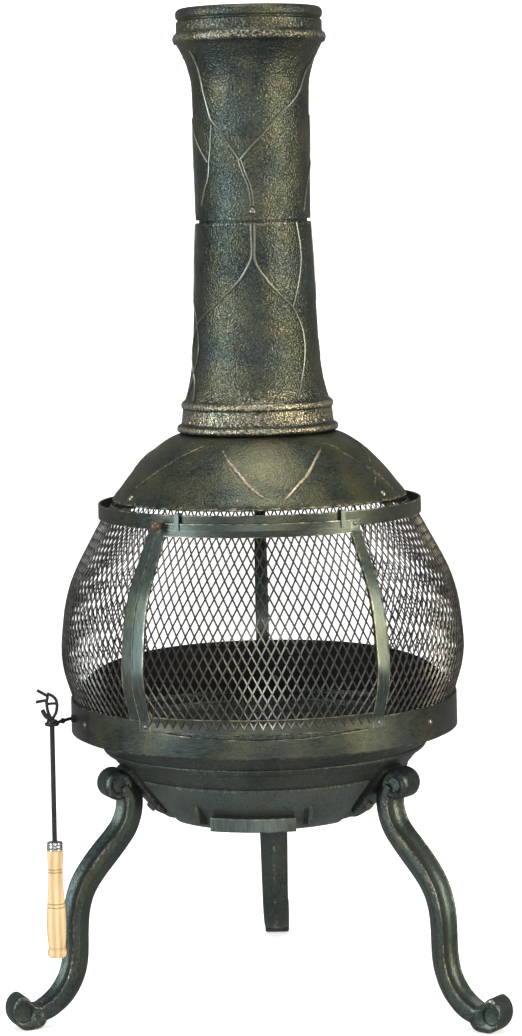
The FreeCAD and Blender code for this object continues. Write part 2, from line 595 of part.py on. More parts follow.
grip_top = 206.5 - HEAD_Z
handle = doc.addObject("PartDesign::Body", "poker_handle_body")
sk = sketch_loop(handle, "poker_handle_profile", [
    (2.85, grip_top - 1.7), (7.5, grip_top - 1.7), (7.5, grip_top - 9.0), (8.9, grip_top - 9.0),
    [(8.9, grip_top - 9.0), (9.1, grip_top - 14), (8.6, grip_top - 28), (8.3, grip_top - 40), (9.0, grip_top - 56),
     (10.4, grip_top - 72), (11.0, grip_top - 88), (10.6, grip_top - 104), (9.6, grip_top - 114), (9.9, grip_top - 119),
     (10.9, grip_top - 124), (10.2, grip_top - 126.6)],
    (8.6, grip_top - HL), (0, grip_top - HL), (0, grip_top - 42.0), (2.85, grip_top - 42.0)])
rv = handle.newObject("PartDesign::Revolution", "poker_handle_turn")
rv.Profile = sk
rv.ReferenceAxis = (sk, ["V_Axis"])
rv.Angle = 360
handle.Placement = Placement(Vector(AX + PX, AY + PY, HEAD_Z), Rotation())
handle.setExpression("Placement.Base.x", "Sizes.axisX + Sizes.pokerX")
handle.setExpression("Placement.Base.y", "Sizes.axisY + Sizes.pokerY")
handle.setExpression("Placement.Base.z", "Sizes.headHeight")
keep(handle, "poker_handle")
ferrule = Part.makeCylinder(8.8, 8.9, pk(0, grip_top - 8.95), Vector(0, 0, 1)).cut(
    Part.makeCylinder(7.55, 7.3, pk(0, grip_top - 8.96), Vector(0, 0, 1))).cut(
    Part.makeCylinder(2.85, 30.0, pk(0, grip_top - 15.0), Vector(0, 0, 1)))
feature("poker_ferrule", ferrule)

# ---------------------------------------------------------------- log grate
gr, gz = cell("grateRadius"), cell("grateHeight")
grate = Part.makeTorus(gr, 4.0, Vector(AX, AY, gz), Vector(0, 0, 1))
bars = []
for i in range(-3, 4):
    x = i * 25.0
    half = math.sqrt(gr * gr - x * x)
    bars.append(Part.makeCylinder(3.5, 2 * half, Vector(AX + x, AY - half, gz), Vector(0, 1, 0)))
bars.append(Part.makeCylinder(3.5, 2 * gr, Vector(AX - gr, AY, gz - 6.0), Vector(1, 0, 0)))
for k in range(4):
    a = math.radians(45 + 90 * k)
    c, s = math.cos(a), math.sin(a)
    bars.append(Part.makeCylinder(4.0, gz - 218.0, Vector(AX + (gr - 1) * c, AY + (gr - 1) * s, 218.0), Vector(0, 0, 1)))
grate = grate.fuse(bars).removeSplitter()
feature("log_grate", grate)

# -------------------------------------------------------------------- check
doc.recompute()
bad = []
for o in doc.Objects:
    if any(s in ("Invalid", "Error") for s in o.State):
        bad.append((o.Name, o.State))
for o in PARTS:
    sh_ = o.Shape
    if sh_.isNull() or not sh_.isValid() or sh_.Volume <= 0:
        bad.append((o.Label, "shape"))
if bad:
    raise RuntimeError("failed: %s" % bad)
os.makedirs("parts", exist_ok=True)
lo, hi = [1e9] * 3, [-1e9] * 3
for o in PARTS:
    b = o.Shape.optimalBoundingBox(False)
    o.Shape.exportStep("parts/%s.step" % o.Label)
    for k, (p, q) in enumerate(((b.XMin, b.XMax), (b.YMin, b.YMax), (b.ZMin, b.ZMax))):
        lo[k], hi[k] = min(lo[k], p), max(hi[k], q)
    print("%-20s solids %2d  volume %10.0f  box %.1f %.1f %.1f .. %.1f %.1f %.1f" % (
        o.Label, len(o.Shape.Solids), o.Shape.Volume, b.XMin, b.YMin, b.ZMin, b.XMax, b.YMax, b.ZMax))
print("whole box", [round(v, 2) for v in lo], [round(v, 2) for v in hi], "centre", round((lo[0] + hi[0]) / 2, 2), round((lo[1] + hi[1]) / 2, 2))
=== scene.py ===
import bpy, bmesh, math
import numpy as np
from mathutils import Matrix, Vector, noise


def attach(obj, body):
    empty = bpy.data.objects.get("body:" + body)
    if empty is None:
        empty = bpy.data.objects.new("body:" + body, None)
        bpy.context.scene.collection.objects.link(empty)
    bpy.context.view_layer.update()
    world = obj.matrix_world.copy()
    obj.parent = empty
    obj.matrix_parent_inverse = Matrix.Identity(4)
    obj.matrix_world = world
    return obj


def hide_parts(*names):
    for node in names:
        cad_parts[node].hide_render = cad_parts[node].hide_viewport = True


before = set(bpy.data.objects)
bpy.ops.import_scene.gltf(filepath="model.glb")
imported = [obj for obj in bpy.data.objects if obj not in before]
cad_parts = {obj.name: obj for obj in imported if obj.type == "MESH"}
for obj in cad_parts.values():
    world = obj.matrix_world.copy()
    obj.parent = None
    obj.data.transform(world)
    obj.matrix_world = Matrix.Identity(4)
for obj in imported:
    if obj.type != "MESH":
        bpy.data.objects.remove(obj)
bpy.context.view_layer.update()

# Lengths below are millimetres about the stack's axis; angles are degrees from
# the front (-Y), positive towards +X.
AX, AY = 15.4, -40.8


def P(r, z, phi, side=0.0):
    a = math.radians(phi)
    s, c = math.sin(a), math.cos(a)
    return (AX + r * s + side * c, AY - r * c + side * s, z)


# ------------------------------------------------------------------ materials
def new_mat(name):
    m = bpy.data.materials.new(name)
    m.use_nodes = True
    nt = m.node_tree
    return m, nt, nt.nodes["Principled BSDF"]


def N(nt, kind, **kw):
    n = nt.nodes.new(kind)
    for k, v in kw.items():
        if k in n.inputs:
            n.inputs[k].default_value = v
        else:
            setattr(n, k, v)
    return n


def coords(nt, scale=(1, 1, 1)):
    tc = nt.nodes.new("ShaderNodeTexCoord")
    mp = nt.nodes.new("ShaderNodeMapping")
    mp.inputs["Scale"].default_value = scale
    nt.links.new(tc.outputs["Object"], mp.inputs["Vector"])
    return mp.outputs["Vector"]


def noise_tex(nt, vec, scale, detail=3.0, rough=0.55):
    n = N(nt, "ShaderNodeTexNoise", Scale=scale, Detail=detail, Roughness=rough)
    nt.links.new(vec, n.inputs["Vector"])
    return n.outputs["Fac"]


def ramp(nt, fac, stops):
    r = nt.nodes.new("ShaderNodeValToRGB")
    el = r.color_ramp.elements
    el[0].position, el[0].color = stops[0][0], (*stops[0][1], 1)
    el[1].position, el[1].color = stops[-1][0], (*stops[-1][1], 1)
    for p, c in stops[1:-1]:
        e = el.new(p)
        e.color = (*c, 1)
    nt.links.new(fac, r.inputs["Fac"])
    return r.outputs["Color"]


def mathn(nt, op, a, b=None, c=None, clamp=False):
    n = nt.nodes.new("ShaderNodeMath")
    n.operation = op
    n.use_clamp = clamp
    for i, v in enumerate((a, b, c)):
        if v is None:
            continue
        if isinstance(v, (int, float)):
            n.inputs[i].default_value = v
        else:
            nt.links.new(v, n.inputs[i])
    return n.outputs[0]


def mix(nt, fac, a, b):
    n = nt.nodes.new("ShaderNodeMix")
    n.data_type = "RGBA"
    for sock, v in ((0, fac), (6, a), (7, b)):
        if isinstance(v, (int, float)):
            n.inputs[sock].default_value = v
        elif isinstance(v, tuple):
            n.inputs[sock].default_value = (*v, 1)
        else:
            nt.links.new(v, n.inputs[sock])
    return n.outputs[2]


def bump(nt, height, dist, strength=1.0, under=None):
    b = N(nt, "ShaderNodeBump", Strength=strength, Distance=dist)
    nt.links.new(height, b.inputs["Height"])
    if under is not None:
        nt.links.new(under, b.inputs["Normal"])
    return b.outputs["Normal"]


DARK, TEAL = (0.018, 0.024, 0.022), (0.078, 0.094, 0.084)
GOLD, BRONZE, PALE = (0.130, 0.125, 0.070), (0.36, 0.27, 0.15), (0.72, 0.66, 0.52)


def metal(name, grain=0.5, brushed=(1, 1, 1), gold=0.5, rough=0.36, dark=DARK, mid=TEAL, bumpy=1.0, bias=0.0):
    """Dark green-black metal; the 'rub' attribute says where the finish is
    brushed back to bronze."""
    m, nt, b = new_mat(name)
    L = nt.links
    v = coords(nt)
    vb = coords(nt, brushed)
    big = noise_tex(nt, v, 14, 3)
    fine = noise_tex(nt, vb, 420, 4, 0.6)
    spots = noise_tex(nt, v, 620, 2, 0.6)
    base = ramp(nt, mathn(nt, "ADD", mathn(nt, "MULTIPLY", big, 0.45), mathn(nt, "MULTIPLY", fine, 0.55)),
                [(0.34, dark), (0.62, mid)])
    g = mathn(nt, "MULTIPLY", mathn(nt, "SUBTRACT", mathn(nt, "MULTIPLY", noise_tex(nt, v, 22, 4), spots), 0.20, clamp=True), 5.0 * gold, clamp=True)
    base = mix(nt, g, base, GOLD)
    att = nt.nodes.new("ShaderNodeAttribute")
    att.attribute_name = "rub_and_shade"
    rub_and_shade = mathn(nt, "ADD", att.outputs["Fac"], bias)
    w = mathn(nt, "ADD", rub_and_shade, mathn(nt, "MULTIPLY", mathn(nt, "SUBTRACT", fine, 0.5), 1.5))
    w = mathn(nt, "ADD", w, mathn(nt, "MULTIPLY", mathn(nt, "SUBTRACT", big, 0.5), 0.5))
    f = mathn(nt, "MULTIPLY", mathn(nt, "SUBTRACT", w, 0.42), 2.6, clamp=True)
    rubbed = ramp(nt, spots, [(0.35, BRONZE), (0.68, PALE)])
    col = mix(nt, f, base, rubbed)
    L.new(col, b.inputs["Base Color"])
    b.inputs["Metallic"].default_value = 0.82
    r = mathn(nt, "ADD", mathn(nt, "MULTIPLY", fine, 0.26), rough - 0.13)
    r = mathn(nt, "SUBTRACT", r, mathn(nt, "MULTIPLY", f, 0.05))
    L.new(r, b.inputs["Roughness"])
    n1 = bump(nt, fine, 0.00025 * bumpy, 0.5 + 0.4 * grain)
    vor = N(nt, "ShaderNodeTexVoronoi", Scale=520.0)
    vor.feature = "SMOOTH_F1"
    L.new(v, vor.inputs["Vector"])
    n2 = bump(nt, vor.outputs["Distance"], 0.0009 * grain * bumpy, 0.9 if grain > 0.3 else 0.25, n1)
    L.new(n2, b.inputs["Normal"])
    return m


M_HAM = metal("hammered casting", grain=1.0, gold=1.0, rough=0.32, bumpy=1.2)
M_DOME = metal("dome casting", grain=0.5, gold=1.5, rough=0.42, brushed=(0.35, 0.35, 1.0), mid=(0.080, 0.096, 0.076))
M_BOWL = metal("bowl casting", grain=0.9, gold=0.4, rough=0.38, dark=(0.032, 0.040, 0.037), mid=(0.104, 0.124, 0.112))
M_LEG = metal("leg casting", grain=0.35, gold=0.5, rough=0.36, brushed=(1, 1, 0.6), dark=(0.030, 0.041, 0.040), mid=(0.092, 0.120, 0.114))
M_BAND = metal("band sheet", grain=0.15, gold=0.8, rough=0.40, brushed=(0.25, 0.25, 1.5))
M_STRAP = metal("strap", grain=0.15, gold=0.75, rough=0.34, brushed=(1.0, 1.0, 0.12),
                dark=(0.045, 0.062, 0.058), mid=(0.12, 0.155, 0.145), bias=0.02)


M_PAD = metal("smooth panel", grain=0.1, gold=0.7, rough=0.40, brushed=(1.0, 1.0, 0.16), dark=(0.060, 0.080, 0.076), mid=(0.165, 0.205, 0.190), bias=0.04)


def plain_metal(name, lo, hi, rough, metallic, scale=300, bump_d=0.00012, stretch=(1, 1, 1)):
    m, nt, b = new_mat(name)
    v = coords(nt, stretch)
    f = noise_tex(nt, v, scale, 5, 0.65)
    g = noise_tex(nt, coords(nt), 30, 2)
    h = mathn(nt, "ADD", mathn(nt, "MULTIPLY", f, 0.6), mathn(nt, "MULTIPLY", g, 0.4))
    nt.links.new(ramp(nt, h, [(0.32, lo), (0.68, hi)]), b.inputs["Base Color"])
    b.inputs["Metallic"].default_value = metallic
    nt.links.new(mathn(nt, "ADD", mathn(nt, "MULTIPLY", f, 0.3), rough - 0.15), b.inputs["Roughness"])
    nt.links.new(bump(nt, f, bump_d, 0.6), b.inputs["Normal"])
    return m


M_MESH = plain_metal("expanded metal", (0.030, 0.029, 0.027), (0.190, 0.180, 0.160), 0.36, 0.85, 500)
# Painted highlight: the raised lines are the casting's own colour, and this paler green-grey stands in for the light
# along their crests.
M_VEIN_HIGHLIGHT = plain_metal("raised line painted highlight", (0.105, 0.115, 0.098), (0.300, 0.310, 0.255), 0.36, 0.85, 500)
M_BLACK = plain_metal("black bar", (0.008, 0.010, 0.010), (0.030, 0.034, 0.034), 0.46, 0.4, 420, 0.0002)
# An almost pure black sheet; the ash guard gets it.
M_GUARD = plain_metal("near-black sheet", (0.004, 0.004, 0.004), (0.012, 0.011, 0.010), 0.75, 0.2, 240, 0.0002)
M_ZINC = plain_metal("dull fastener", (0.16, 0.14, 0.12), (0.42, 0.38, 0.33), 0.34, 0.95, 700, 0.0001)
M_TIN = plain_metal("bright ferrule", (0.50, 0.50, 0.50), (0.85, 0.85, 0.84), 0.25, 0.95, 260, 0.0001, (1, 1, 6))
M_KNOB = plain_metal("brown lacquer", (0.050, 0.028, 0.020), (0.135, 0.075, 0.050), 0.32, 0.15, 160)


def wood():
    m, nt, b = new_mat("turned pine")
    v = coords(nt, (1.0, 1.0, 0.10))
    warp = noise_tex(nt, coords(nt, (1, 1, 0.3)), 60, 3)
    n = noise_tex(nt, v, 330, 5, 0.6)
    w = N(nt, "ShaderNodeTexWave", Scale=42.0, Distortion=5.0, Detail=3.0)
    w.bands_direction = "X"
    nt.links.new(v, w.inputs["Vector"])
    h = mathn(nt, "ADD", mathn(nt, "MULTIPLY", w.outputs["Fac"], 0.45), mathn(nt, "MULTIPLY", n, 0.55))
    c = ramp(nt, h, [(0.25, (0.46, 0.27, 0.115)), (0.5, (0.66, 0.45, 0.22)), (0.8, (0.80, 0.60, 0.34))])
    dark = ramp(nt, warp, [(0.40, (0.52, 0.33, 0.16)), (0.7, (0.78, 0.58, 0.33))])
    att = nt.nodes.new("ShaderNodeAttribute")
    att.attribute_name = "rub_and_shade"
    c = mix(nt, 0.35, c, dark)
    # Painted shade: the wood is darkened towards dark brown in the turned grooves, in the crease under the ferrule and
    # round the end, where the handle profile marks it.
    c = mix(nt, att.outputs["Fac"], c, (0.22, 0.12, 0.05))
    nt.links.new(c, b.inputs["Base Color"])
    nt.links.new(mathn(nt, "ADD", mathn(nt, "MULTIPLY", n, 0.2), 0.40), b.inputs["Roughness"])
    nt.links.new(bump(nt, h, 0.00018, 0.5), b.inputs["Normal"])
    b.inputs["Coat Weight"].default_value = 0.25
    return m


M_WOOD = wood()


# --------------------------------------------------------------------- meshes
class Shape:
    def __init__(self):
        self.v, self.f, self.r = [], [], []

    def add(self, verts, faces, rub_and_shade):
        o = len(self.v)
        self.v += verts
        self.f += [tuple(i + o for i in f) for f in faces]
        self.r += rub_and_shade if isinstance(rub_and_shade, list) else [rub_and_shade] * len(verts)

    def done(self, name, mat, body, nodes=(), slot=None, crease=38):
        me = bpy.data.meshes.new(name)
        me.from_pydata([(x / 1000, y / 1000, z / 1000) for x, y, z in self.v], [], self.f)
        a = me.attributes.new("rub_and_shade", "FLOAT", "POINT")
        a.data.foreach_set("value", self.r)
        me.materials.append(mat)
        bm = bmesh.new()
        bm.from_mesh(me)
        bmesh.ops.recalc_face_normals(bm, faces=bm.faces)
        lim = math.radians(crease)
        for e in bm.edges:
            if len(e.link_faces) == 2 and e.calc_face_angle(0.0) > lim:
                e.smooth = False
        for f in bm.faces:
            f.smooth = True
        bm.to_mesh(me)
        bm.free()
        if hasattr(me, "use_auto_smooth"):
            me.use_auto_smooth = True
            me.auto_smooth_angle = math.pi
        ob = bpy.data.objects.new(name, me)
        bpy.context.scene.collection.objects.link(ob)
        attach(ob, body)
        if nodes:
            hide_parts(*nodes)
        slot or (nodes[0] if nodes else name)
        return ob


def smooth(pts, step):
    """Catmull-Rom through pts (tuples of any length), about `step` apart."""
    out = []
    n = len(pts)
    for i in range(n - 1):
        p0, p1, p2, p3 = pts[max(i - 1, 0)], pts[i], pts[i + 1], pts[min(i + 2, n - 1)]
        m = max(1, int(math.ceil(math.dist(p1[:2], p2[:2]) / step)))
        for k in range(m):
            t = k / m
            out.append(tuple(0.5 * (2 * b + (c - a) * t + (2 * a - 5 * b + 4 * c - d) * t * t + (3 * b - a - 3 * c + d) * t ** 3)
                             for a, b, c, d in zip(p0, p1, p2, p3)))
    out.append(tuple(float(x) for x in pts[-1]))
    return out


def straight(pts, step):
    out = []
    for a, b in zip(pts, pts[1:]):
        m = max(1, int(math.ceil(math.dist(a[:2], b[:2]) / step)))
        out += [tuple(x + (y - x) * k / m for x, y in zip(a, b)) for k in range(m)]
    out.append(tuple(float(x) for x in pts[-1]))
    return out


def rounded(pts, rad=0.5, n=3, fade=1.7, flat=0.03):
    """Closed polygon with its corners rounded; the rub fades out from each."""
    out = []
    m = len(pts)
    for i, p in enumerate(pts):
        a, b = pts[i - 1], pts[(i + 1) % m]
        la, lb = math.dist(p[:2], a[:2]), math.dist(p[:2], b[:2])
        if la < 1e-6 or lb < 1e-6:
            continue
        q = min(rad, 0.45 * la, 0.45 * lb)
        s = [p[k] + (a[k] - p[k]) * q / la for k in range(2)]
        e = [p[k] + (b[k] - p[k]) * q / lb for k in range(2)]
        rub_and_shade = p[2] if len(p) > 2 else 0.0
        if la > 3.2 * fade and rub_and_shade > flat:
            out.append((p[0] + (a[0] - p[0]) * fade / la, p[1] + (a[1] - p[1]) * fade / la, flat))
        for k in range(n + 1):
            t = k / n
            out.append(tuple((1 - t) ** 2 * s[j] + 2 * t * (1 - t) * p[j] + t * t * e[j] for j in range(2)) + (rub_and_shade,))
        if lb > 3.2 * fade and rub_and_shade > flat:
            out.append((p[0] + (b[0] - p[0]) * fade / lb, p[1] + (b[1] - p[1]) * fade / lb, flat))
    return out


def hammer(x, y, z):
    v = Vector((x, y, z))
    return 0.65 * noise.noise(v * 0.33) + 0.35 * noise.noise(v * 0.62 + Vector((7, 3, 1)))


def lathe(sh, loop, phi0=0.0, phi1=360.0, step=2.0, ham=0.0, closed=True, peak=0.0, hz=(-1e9, 1e9)):
    """loop of (r, z, rub[, hammer]) turned about the axis."""
    full = abs(phi1 - phi0) >= 359.9
    rmax = max(p[0] for p in loop)
    n = max(3 if not full else 48, int(math.radians(abs(phi1 - phi0)) * rmax / step))
    m = len(loop)
    verts, rub_and_shade = [], []
    nor = []
    for i in range(m):
        a, b = loop[i - 1] if (closed or i) else loop[0], loop[(i + 1) % m] if (closed or i < m - 1) else loop[-1]
        tr, tz = b[0] - a[0], b[1] - a[1]
        ln = math.hypot(tr, tz) or 1
        nor.append((tz / ln, -tr / ln))
    cols = n if full else n + 1
    for k in range(cols):
        phi = phi0 + (phi1 - phi0) * k / n
        for i, p in enumerate(loop):
            r, z, w = p[0], p[1], p[2]
            h = p[3] if len(p) > 3 else 0.0
            if ham and h > 0:
                q = P(r, z, phi)
                d = hammer(*q)
                r += nor[i][0] * d * ham * h
                z += nor[i][1] * d * ham * h
                w += max(0.0, d) * peak * h
            verts.append(P(r, z, phi))
            rub_and_shade.append(w)
    faces = []
    mm = m if closed else m - 1
    for k in range(n):
        a, b = k * m, ((k + 1) % cols) * m
        for i in range(mm):
            j = (i + 1) % m
            faces.append((a + i, a + j, b + j, b + i))
    if not full and closed:
        faces.append(tuple(range(m)))
        faces.append(tuple(range((cols - 1) * m, cols * m))[::-1])
    sh.add(verts, faces, rub_and_shade)


def tube(sh, pts, rad, n=8, rub_and_shade=0.0, squash=1.0, up=None, closed=False, taper=False):
    """Round bar along points (row-frame millimetres)."""
    pts = [Vector(p) for p in pts]
    m = len(pts)
    verts, w = [], []
    prev = None
    for i, p in enumerate(pts):
        if closed:
            t = pts[(i + 1) % m] - pts[i - 1]
        else:
            t = pts[min(i + 1, m - 1)] - pts[max(i - 1, 0)]
        t.normalize()
        if up is not None:
            u = up[i] if isinstance(up, list) else Vector(up)
            u = (u - t * u.dot(t)).normalized()
        else:
            if prev is None:
                u = t.orthogonal().normalized()
            else:
                u = (prev - t * prev.dot(t)).normalized()
            prev = u
        s = t.cross(u)
        q = rad[i] if isinstance(rad, list) else rad
        if taper:
            e = min(i, m - 1 - i) / max(1.0, 0.22 * m)
            q *= max(0.12, min(1.0, e)) ** 0.6
        for k in range(n):
            a = 2 * math.pi * k / n
            verts.append(tuple(p + u * (q * math.cos(a) * squash) + s * (q * math.sin(a))))
            w.append(rub_and_shade * (0.45 + 0.55 * max(0.0, math.cos(a))) if up is not None else rub_and_shade)
    faces = []
    for i in range(m if closed else m - 1):
        a, b = i * n, ((i + 1) % m) * n
        for k in range(n):
            faces.append((a + k, a + (k + 1) % n, b + (k + 1) % n, b + k))
    if not closed:
        faces.append(tuple(range(n))[::-1])
        faces.append(tuple(range((m - 1) * n, m * n)))
    sh.add(verts, faces, w)


def rad_at(tab, z):
    if z <= tab[0][0]:
        return tab[0][1]
    for (a, b), (c, d) in zip(tab, tab[1:]):
        if a <= z <= c:
            return b + (d - b) * (z - a) / (c - a)
    return tab[-1][1]


def vein(sh, tab, pts, width=1.5, rub_and_shade=1.0, turn=0.0, lift=0.45, taper=False, offset=0.0):
    line = smooth([(phi * 1.18, z) for phi, z in pts], 2.5)
    pos, ups = [], []
    for a, z in line:
        phi = a / 1.18 + turn
        r = rad_at(tab, z)
        slope = (rad_at(tab, z + 1.5) - rad_at(tab, z - 1.5)) / 3.0
        k = math.radians(phi)
        u = Vector((math.sin(k), -math.cos(k), -slope)).normalized()
        p = Vector(P(r, z, phi, offset)) + u * lift
        pos.append(p)
        ups.append(u)
    tube(sh, pos, width, 8, rub_and_shade, 0.85, ups, taper=taper)


# -------------------------------------------------------------- upper stack
UP = [(895.4, 66.6), (930, 66.7), (987, 67.1), (1020, 67.4), (1052, 68.4), (1068, 71.6), (1080.5, 75.4), (1088, 79), (1095, 82.6), (1098.4, 84.6)]
LO = [(687.4, 84.6), (692, 82), (710, 77.6), (733, 74.2), (756, 72.5), (779, 71.6), (802, 70.5), (825.6, 69.4), (848.7, 68.7), (871.8, 67.7), (892, 66.7)]
DOME = [(570.0, 172.0), (575.5, 170), (581, 166.9), (585.8, 162.9), (590, 159.4), (599.3, 152.5), (608.4, 145), (617.6, 136.4), (626.8, 127.1), (636, 115.6), (643.6, 104), (648.6, 93), (650.6, 84.6)]

sh, shv = Shape(), Shape()
prof = straight([(63.05, 895.6, 0.0), (66.0, 895.4, 0.3)], 2) + \
    [(r, z, 0.30 if z < 898 else 0.10, 1.0 if z > 897 else 0.2) for r, z in smooth([(r, z) for z, r in UP], 1.9)]
prof = [p if len(p) > 3 else p + (0.0,) for p in prof]
prof += smooth([(84.6, 1098.4, 0.2, 0), (87.6, 1100.0, 0.30, 0), (89.0, 1104.6, 0.55, 0), (88.0, 1109.2, 0.45, 0), (85.4, 1111.4, 0.1, 0)], 0.9)[1:]
prof += straight([(84.6, 1113.4, 0.34, 0.3), (84.6, 1124.0, 0.34, 0.3)], 1.8) + [(82.7, 1125.8, 0.0, 0), (82.6, 1127.2, 0.0, 0)]
prof += smooth([(82.6, 1127.2, 0.1, 0), (84.4, 1128.6, 0.12, 0), (85.2, 1132.0, 0.16, 0), (84.6, 1136.6, 0.14, 0), (82.0, 1139.3, 0.08, 0), (79.6, 1140.0, 0.0, 0)], 0.9)[1:]
prof += [(78.2, 1139.6, 0.1, 0), (77.6, 1138.5, 0, 0)] + straight([(77.6, 1128.0, 0, 0), (77.6, 1104.0, 0, 0)], 6)
prof += smooth([(77.6, 1104.0, 0, 0), (74.4, 1090.0, 0, 0), (69.0, 1076.0, 0, 0), (64.4, 1060.0, 0, 0), (62.6, 1040.0, 0, 0)], 5)[1:]
prof += straight([(62.4, 1010.0, 0, 0), (60.4, 990.0, 0, 0), (60.4, 920.5, 0, 0)], 12) + [(63.05, 920.0, 0, 0), (63.05, 905.0, 0, 0)]
lathe(sh, prof, step=2.1, ham=0.30, peak=0.40)
V = [[(-58.5, 1090), (-55.4, 1074.5), (-54.0, 1061.6), (-52.8, 1048.8), (-48.9, 1032.5), (-42.9, 1011.4), (-39.4, 1006.5), (-29.7, 994.1), (-19.6, 977.0), (-11.8, 963.2)],
     [(80, 1086), (73.4, 1075.0), (63.2, 1062.6), (59.1, 1049.7), (52.9, 1038.3), (42.8, 1026.9), (29.0, 1014.2), (16.9, 999.9), (8.3, 989.0), (-0.1, 978.8), (-10.0, 965.5), (-11.8, 963.2)],
     [(-41.9, 1004.2), (-43.7, 989.0), (-44.5, 976.2), (-46.6, 961.9), (-48.2, 945.9), (-54.4, 930.0), (-60.8, 912.0)],
     [(-86, 1012), (-73.8, 992.5), (-61.5, 976.8), (-48.8, 961.2)],
     [(82, 1015), (90, 985), (97, 955), (100, 925), (101, 903)],
     [(60, 903), (66, 925), (78, 948), (95, 965)]]
stemv = [(-11.8, 963.2), (-7.6, 948.0), (-3.0, 933.5), (-1.2, 920.7), (-0.8, 911.0)]
for turn in (0, 180):
    for i, line in enumerate(V):
        vein(shv, UP, line, 1.45 if i < 2 else 1.15, 0.5 if i < 2 else 0.36, turn)
    for off in (-1.7, 1.7):
        vein(shv, UP, stemv, 0.9, 0.4, turn, offset=off)
sh.done("upper_stack_casting", M_HAM, "stand", ("upper_stack",))
shv.done("upper_stack_lines", M_VEIN_HIGHLIGHT, "stand", ("upper_stack",))

# --------------------------------------------------- lower stack and collar
sh, shv = Shape(), Shape()
prof = straight([(84.3, 676.0, 0), (84.3, 651.6, 0), (90.4, 651.6, 0.2)], 6)
prof = [p + (0.0,) for p in prof]
prof += smooth([(90.8, 651.7, 0.3, 0), (92.6, 653.0, 0.4, 0), (93.2, 655.6, 0.62, 0), (92.6, 658.2, 0.55, 0), (90.2, 660.0, 0.1, 0), (88.2, 661.2, 0.1, 0)], 0.8)
prof += straight([(87.9, 662.6, 0.46, 0.9), (87.2, 668.0, 0.50, 1.0), (86.3, 677.0, 0.46, 0.9)], 1.5)
prof += smooth([(86.0, 678.2, 0.1, 0), (87.4, 679.6, 0.4, 0), (88.0, 682.6, 0.60, 0), (87.0, 685.6, 0.5, 0), (84.6, 687.4, 0.2, 0)], 0.8)
prof += [(r, z, (0.30 if z < 700 else 0.34 if z > 888.5 else 0.11), 1.0) for r, z in smooth([(r, z) for z, r in LO], 1.9)][1:]
prof += [(66.2, 892.3, 0.4, 0), (64.5, 892.4, 0.1, 0), (62.8, 892.4, 0, 0), (62.8, 919.6, 0, 0), (62.3, 920.0, 0, 0), (59.3, 920.0, 0, 0)]
prof += smooth([(59.3, 900.0, 0, 0), (62.0, 871.0, 0, 0), (64.9, 825, 0, 0), (67.2, 779, 0, 0), (69.7, 733, 0, 0), (72.8, 710, 0, 0), (76.8, 694.0, 0, 0)], 8)
lathe(sh, prof, step=2.1, ham=0.30, peak=0.40)
L1 = [(-2.0, 891), (-2.5, 887.3), (-2.1, 871.4), (-2.4, 853.9), (-6.7, 841.3), (-12.9, 828.7), (-16.7, 823.7), (-27.7, 810.2), (-39.7, 798.8), (-52.2, 788.8), (-63.9, 779.3), (-74.1, 766.6),
      (-80.5, 752.4), (-82.0, 738.0), (-74.4, 725.1), (-66.5, 711.9), (-62.4, 698.5), (-60.6, 689.0)]
L2 = [(1.3, 891), (0.9, 887.2), (0.9, 871.3), (0.7, 850.6), (5.2, 837.8), (11.7, 827.2), (13.7, 822.9), (26.5, 806.5), (37.0, 794.6), (43.5, 780.6), (47.9, 766.6), (49.2, 751.2), (47.0, 733.1),
      (42.0, 715.2), (37.6, 700.4), (33.6, 689.2)]
L3 = [(46.8, 891), (47.3, 887.6), (50.1, 869.9), (50.9, 852.2), (48.8, 836.2), (45.2, 820.2), (40.7, 805.1), (37.0, 794.6)]
L4 = [(98, 891), (95, 860), (92, 835), (97, 805), (110, 780), (116, 750), (108, 715), (101, 690)]
for turn in (0, 180):
    vein(shv, LO, L1, 1.45, 0.5, turn)
    vein(shv, LO, L2, 1.45, 0.5, turn)
    vein(shv, LO, L3, 1.25, 0.46, turn)
    vein(shv, LO, L4, 1.25, 0.46, turn)
sh.done("lower_stack_casting", M_HAM, "stand", ("lower_stack",))
shv.done("lower_stack_lines", M_VEIN_HIGHLIGHT, "stand", ("lower_stack",))

# --------------------------------------------------------------------- dome
sh = Shape()
outer = smooth([(r, z) for z, r in DOME[1:]], 2.2)
prof = [(r, z, 0.12 + (0.35 if z < 577.0 else 0.0), 0.9) for r, z in outer]
prof += [(84.0, 651.5, 0, 0), (84.0, 674.0, 0, 0), (81.0, 674.0, 0, 0), (81.0, 650.0, 0, 0)]
DIN = [(81.0, 647.6), (92.0, 645.6), (102.2, 641.0), (113.6, 633.6), (124.9, 624.5), (134.1, 615.4), (142.6, 606.3), (150.0, 597.2), (156.9, 588.0), (160.3, 583.8), (164.2, 579.2), (167.2, 574.5)]
prof += [(r, z, 0, 0) for r, z in smooth(DIN, 5)]
lathe(sh, prof, step=2.6, ham=0.35, peak=0.35)
RIBS = [[(-34, 642), (-37.9, 638.0), (-44.7, 629.4), (-51.9, 617.3), (-58.9, 602.6), (-65.0, 591.5)],
        [(-20.6, 637.5), (-19.6, 635.6), (-15.1, 625.7), (-9.3, 613.5), (-4.5, 601.2), (0.3, 590.8), (4.2, 584.0)],
        [(37.8, 637.0), (36.9, 635.2), (29.9, 625.7), (21.0, 608.2), (15.3, 597.6), (9.6, 585.0)],
        [(42, 641), (47.3, 638.0), (52.0, 626.6), (59.8, 614.2), (65.5, 599.7), (69.6, 583.6)]]
for turn in (0, 120, 240):
    for i, line in enumerate(RIBS):
        if turn and i == 3:
            continue
        vein(sh, DOME, line, 2.0 if i in (1, 2) else 1.7, 0.85 if i in (1, 2) else 0.5, turn, 0.0, taper=True)
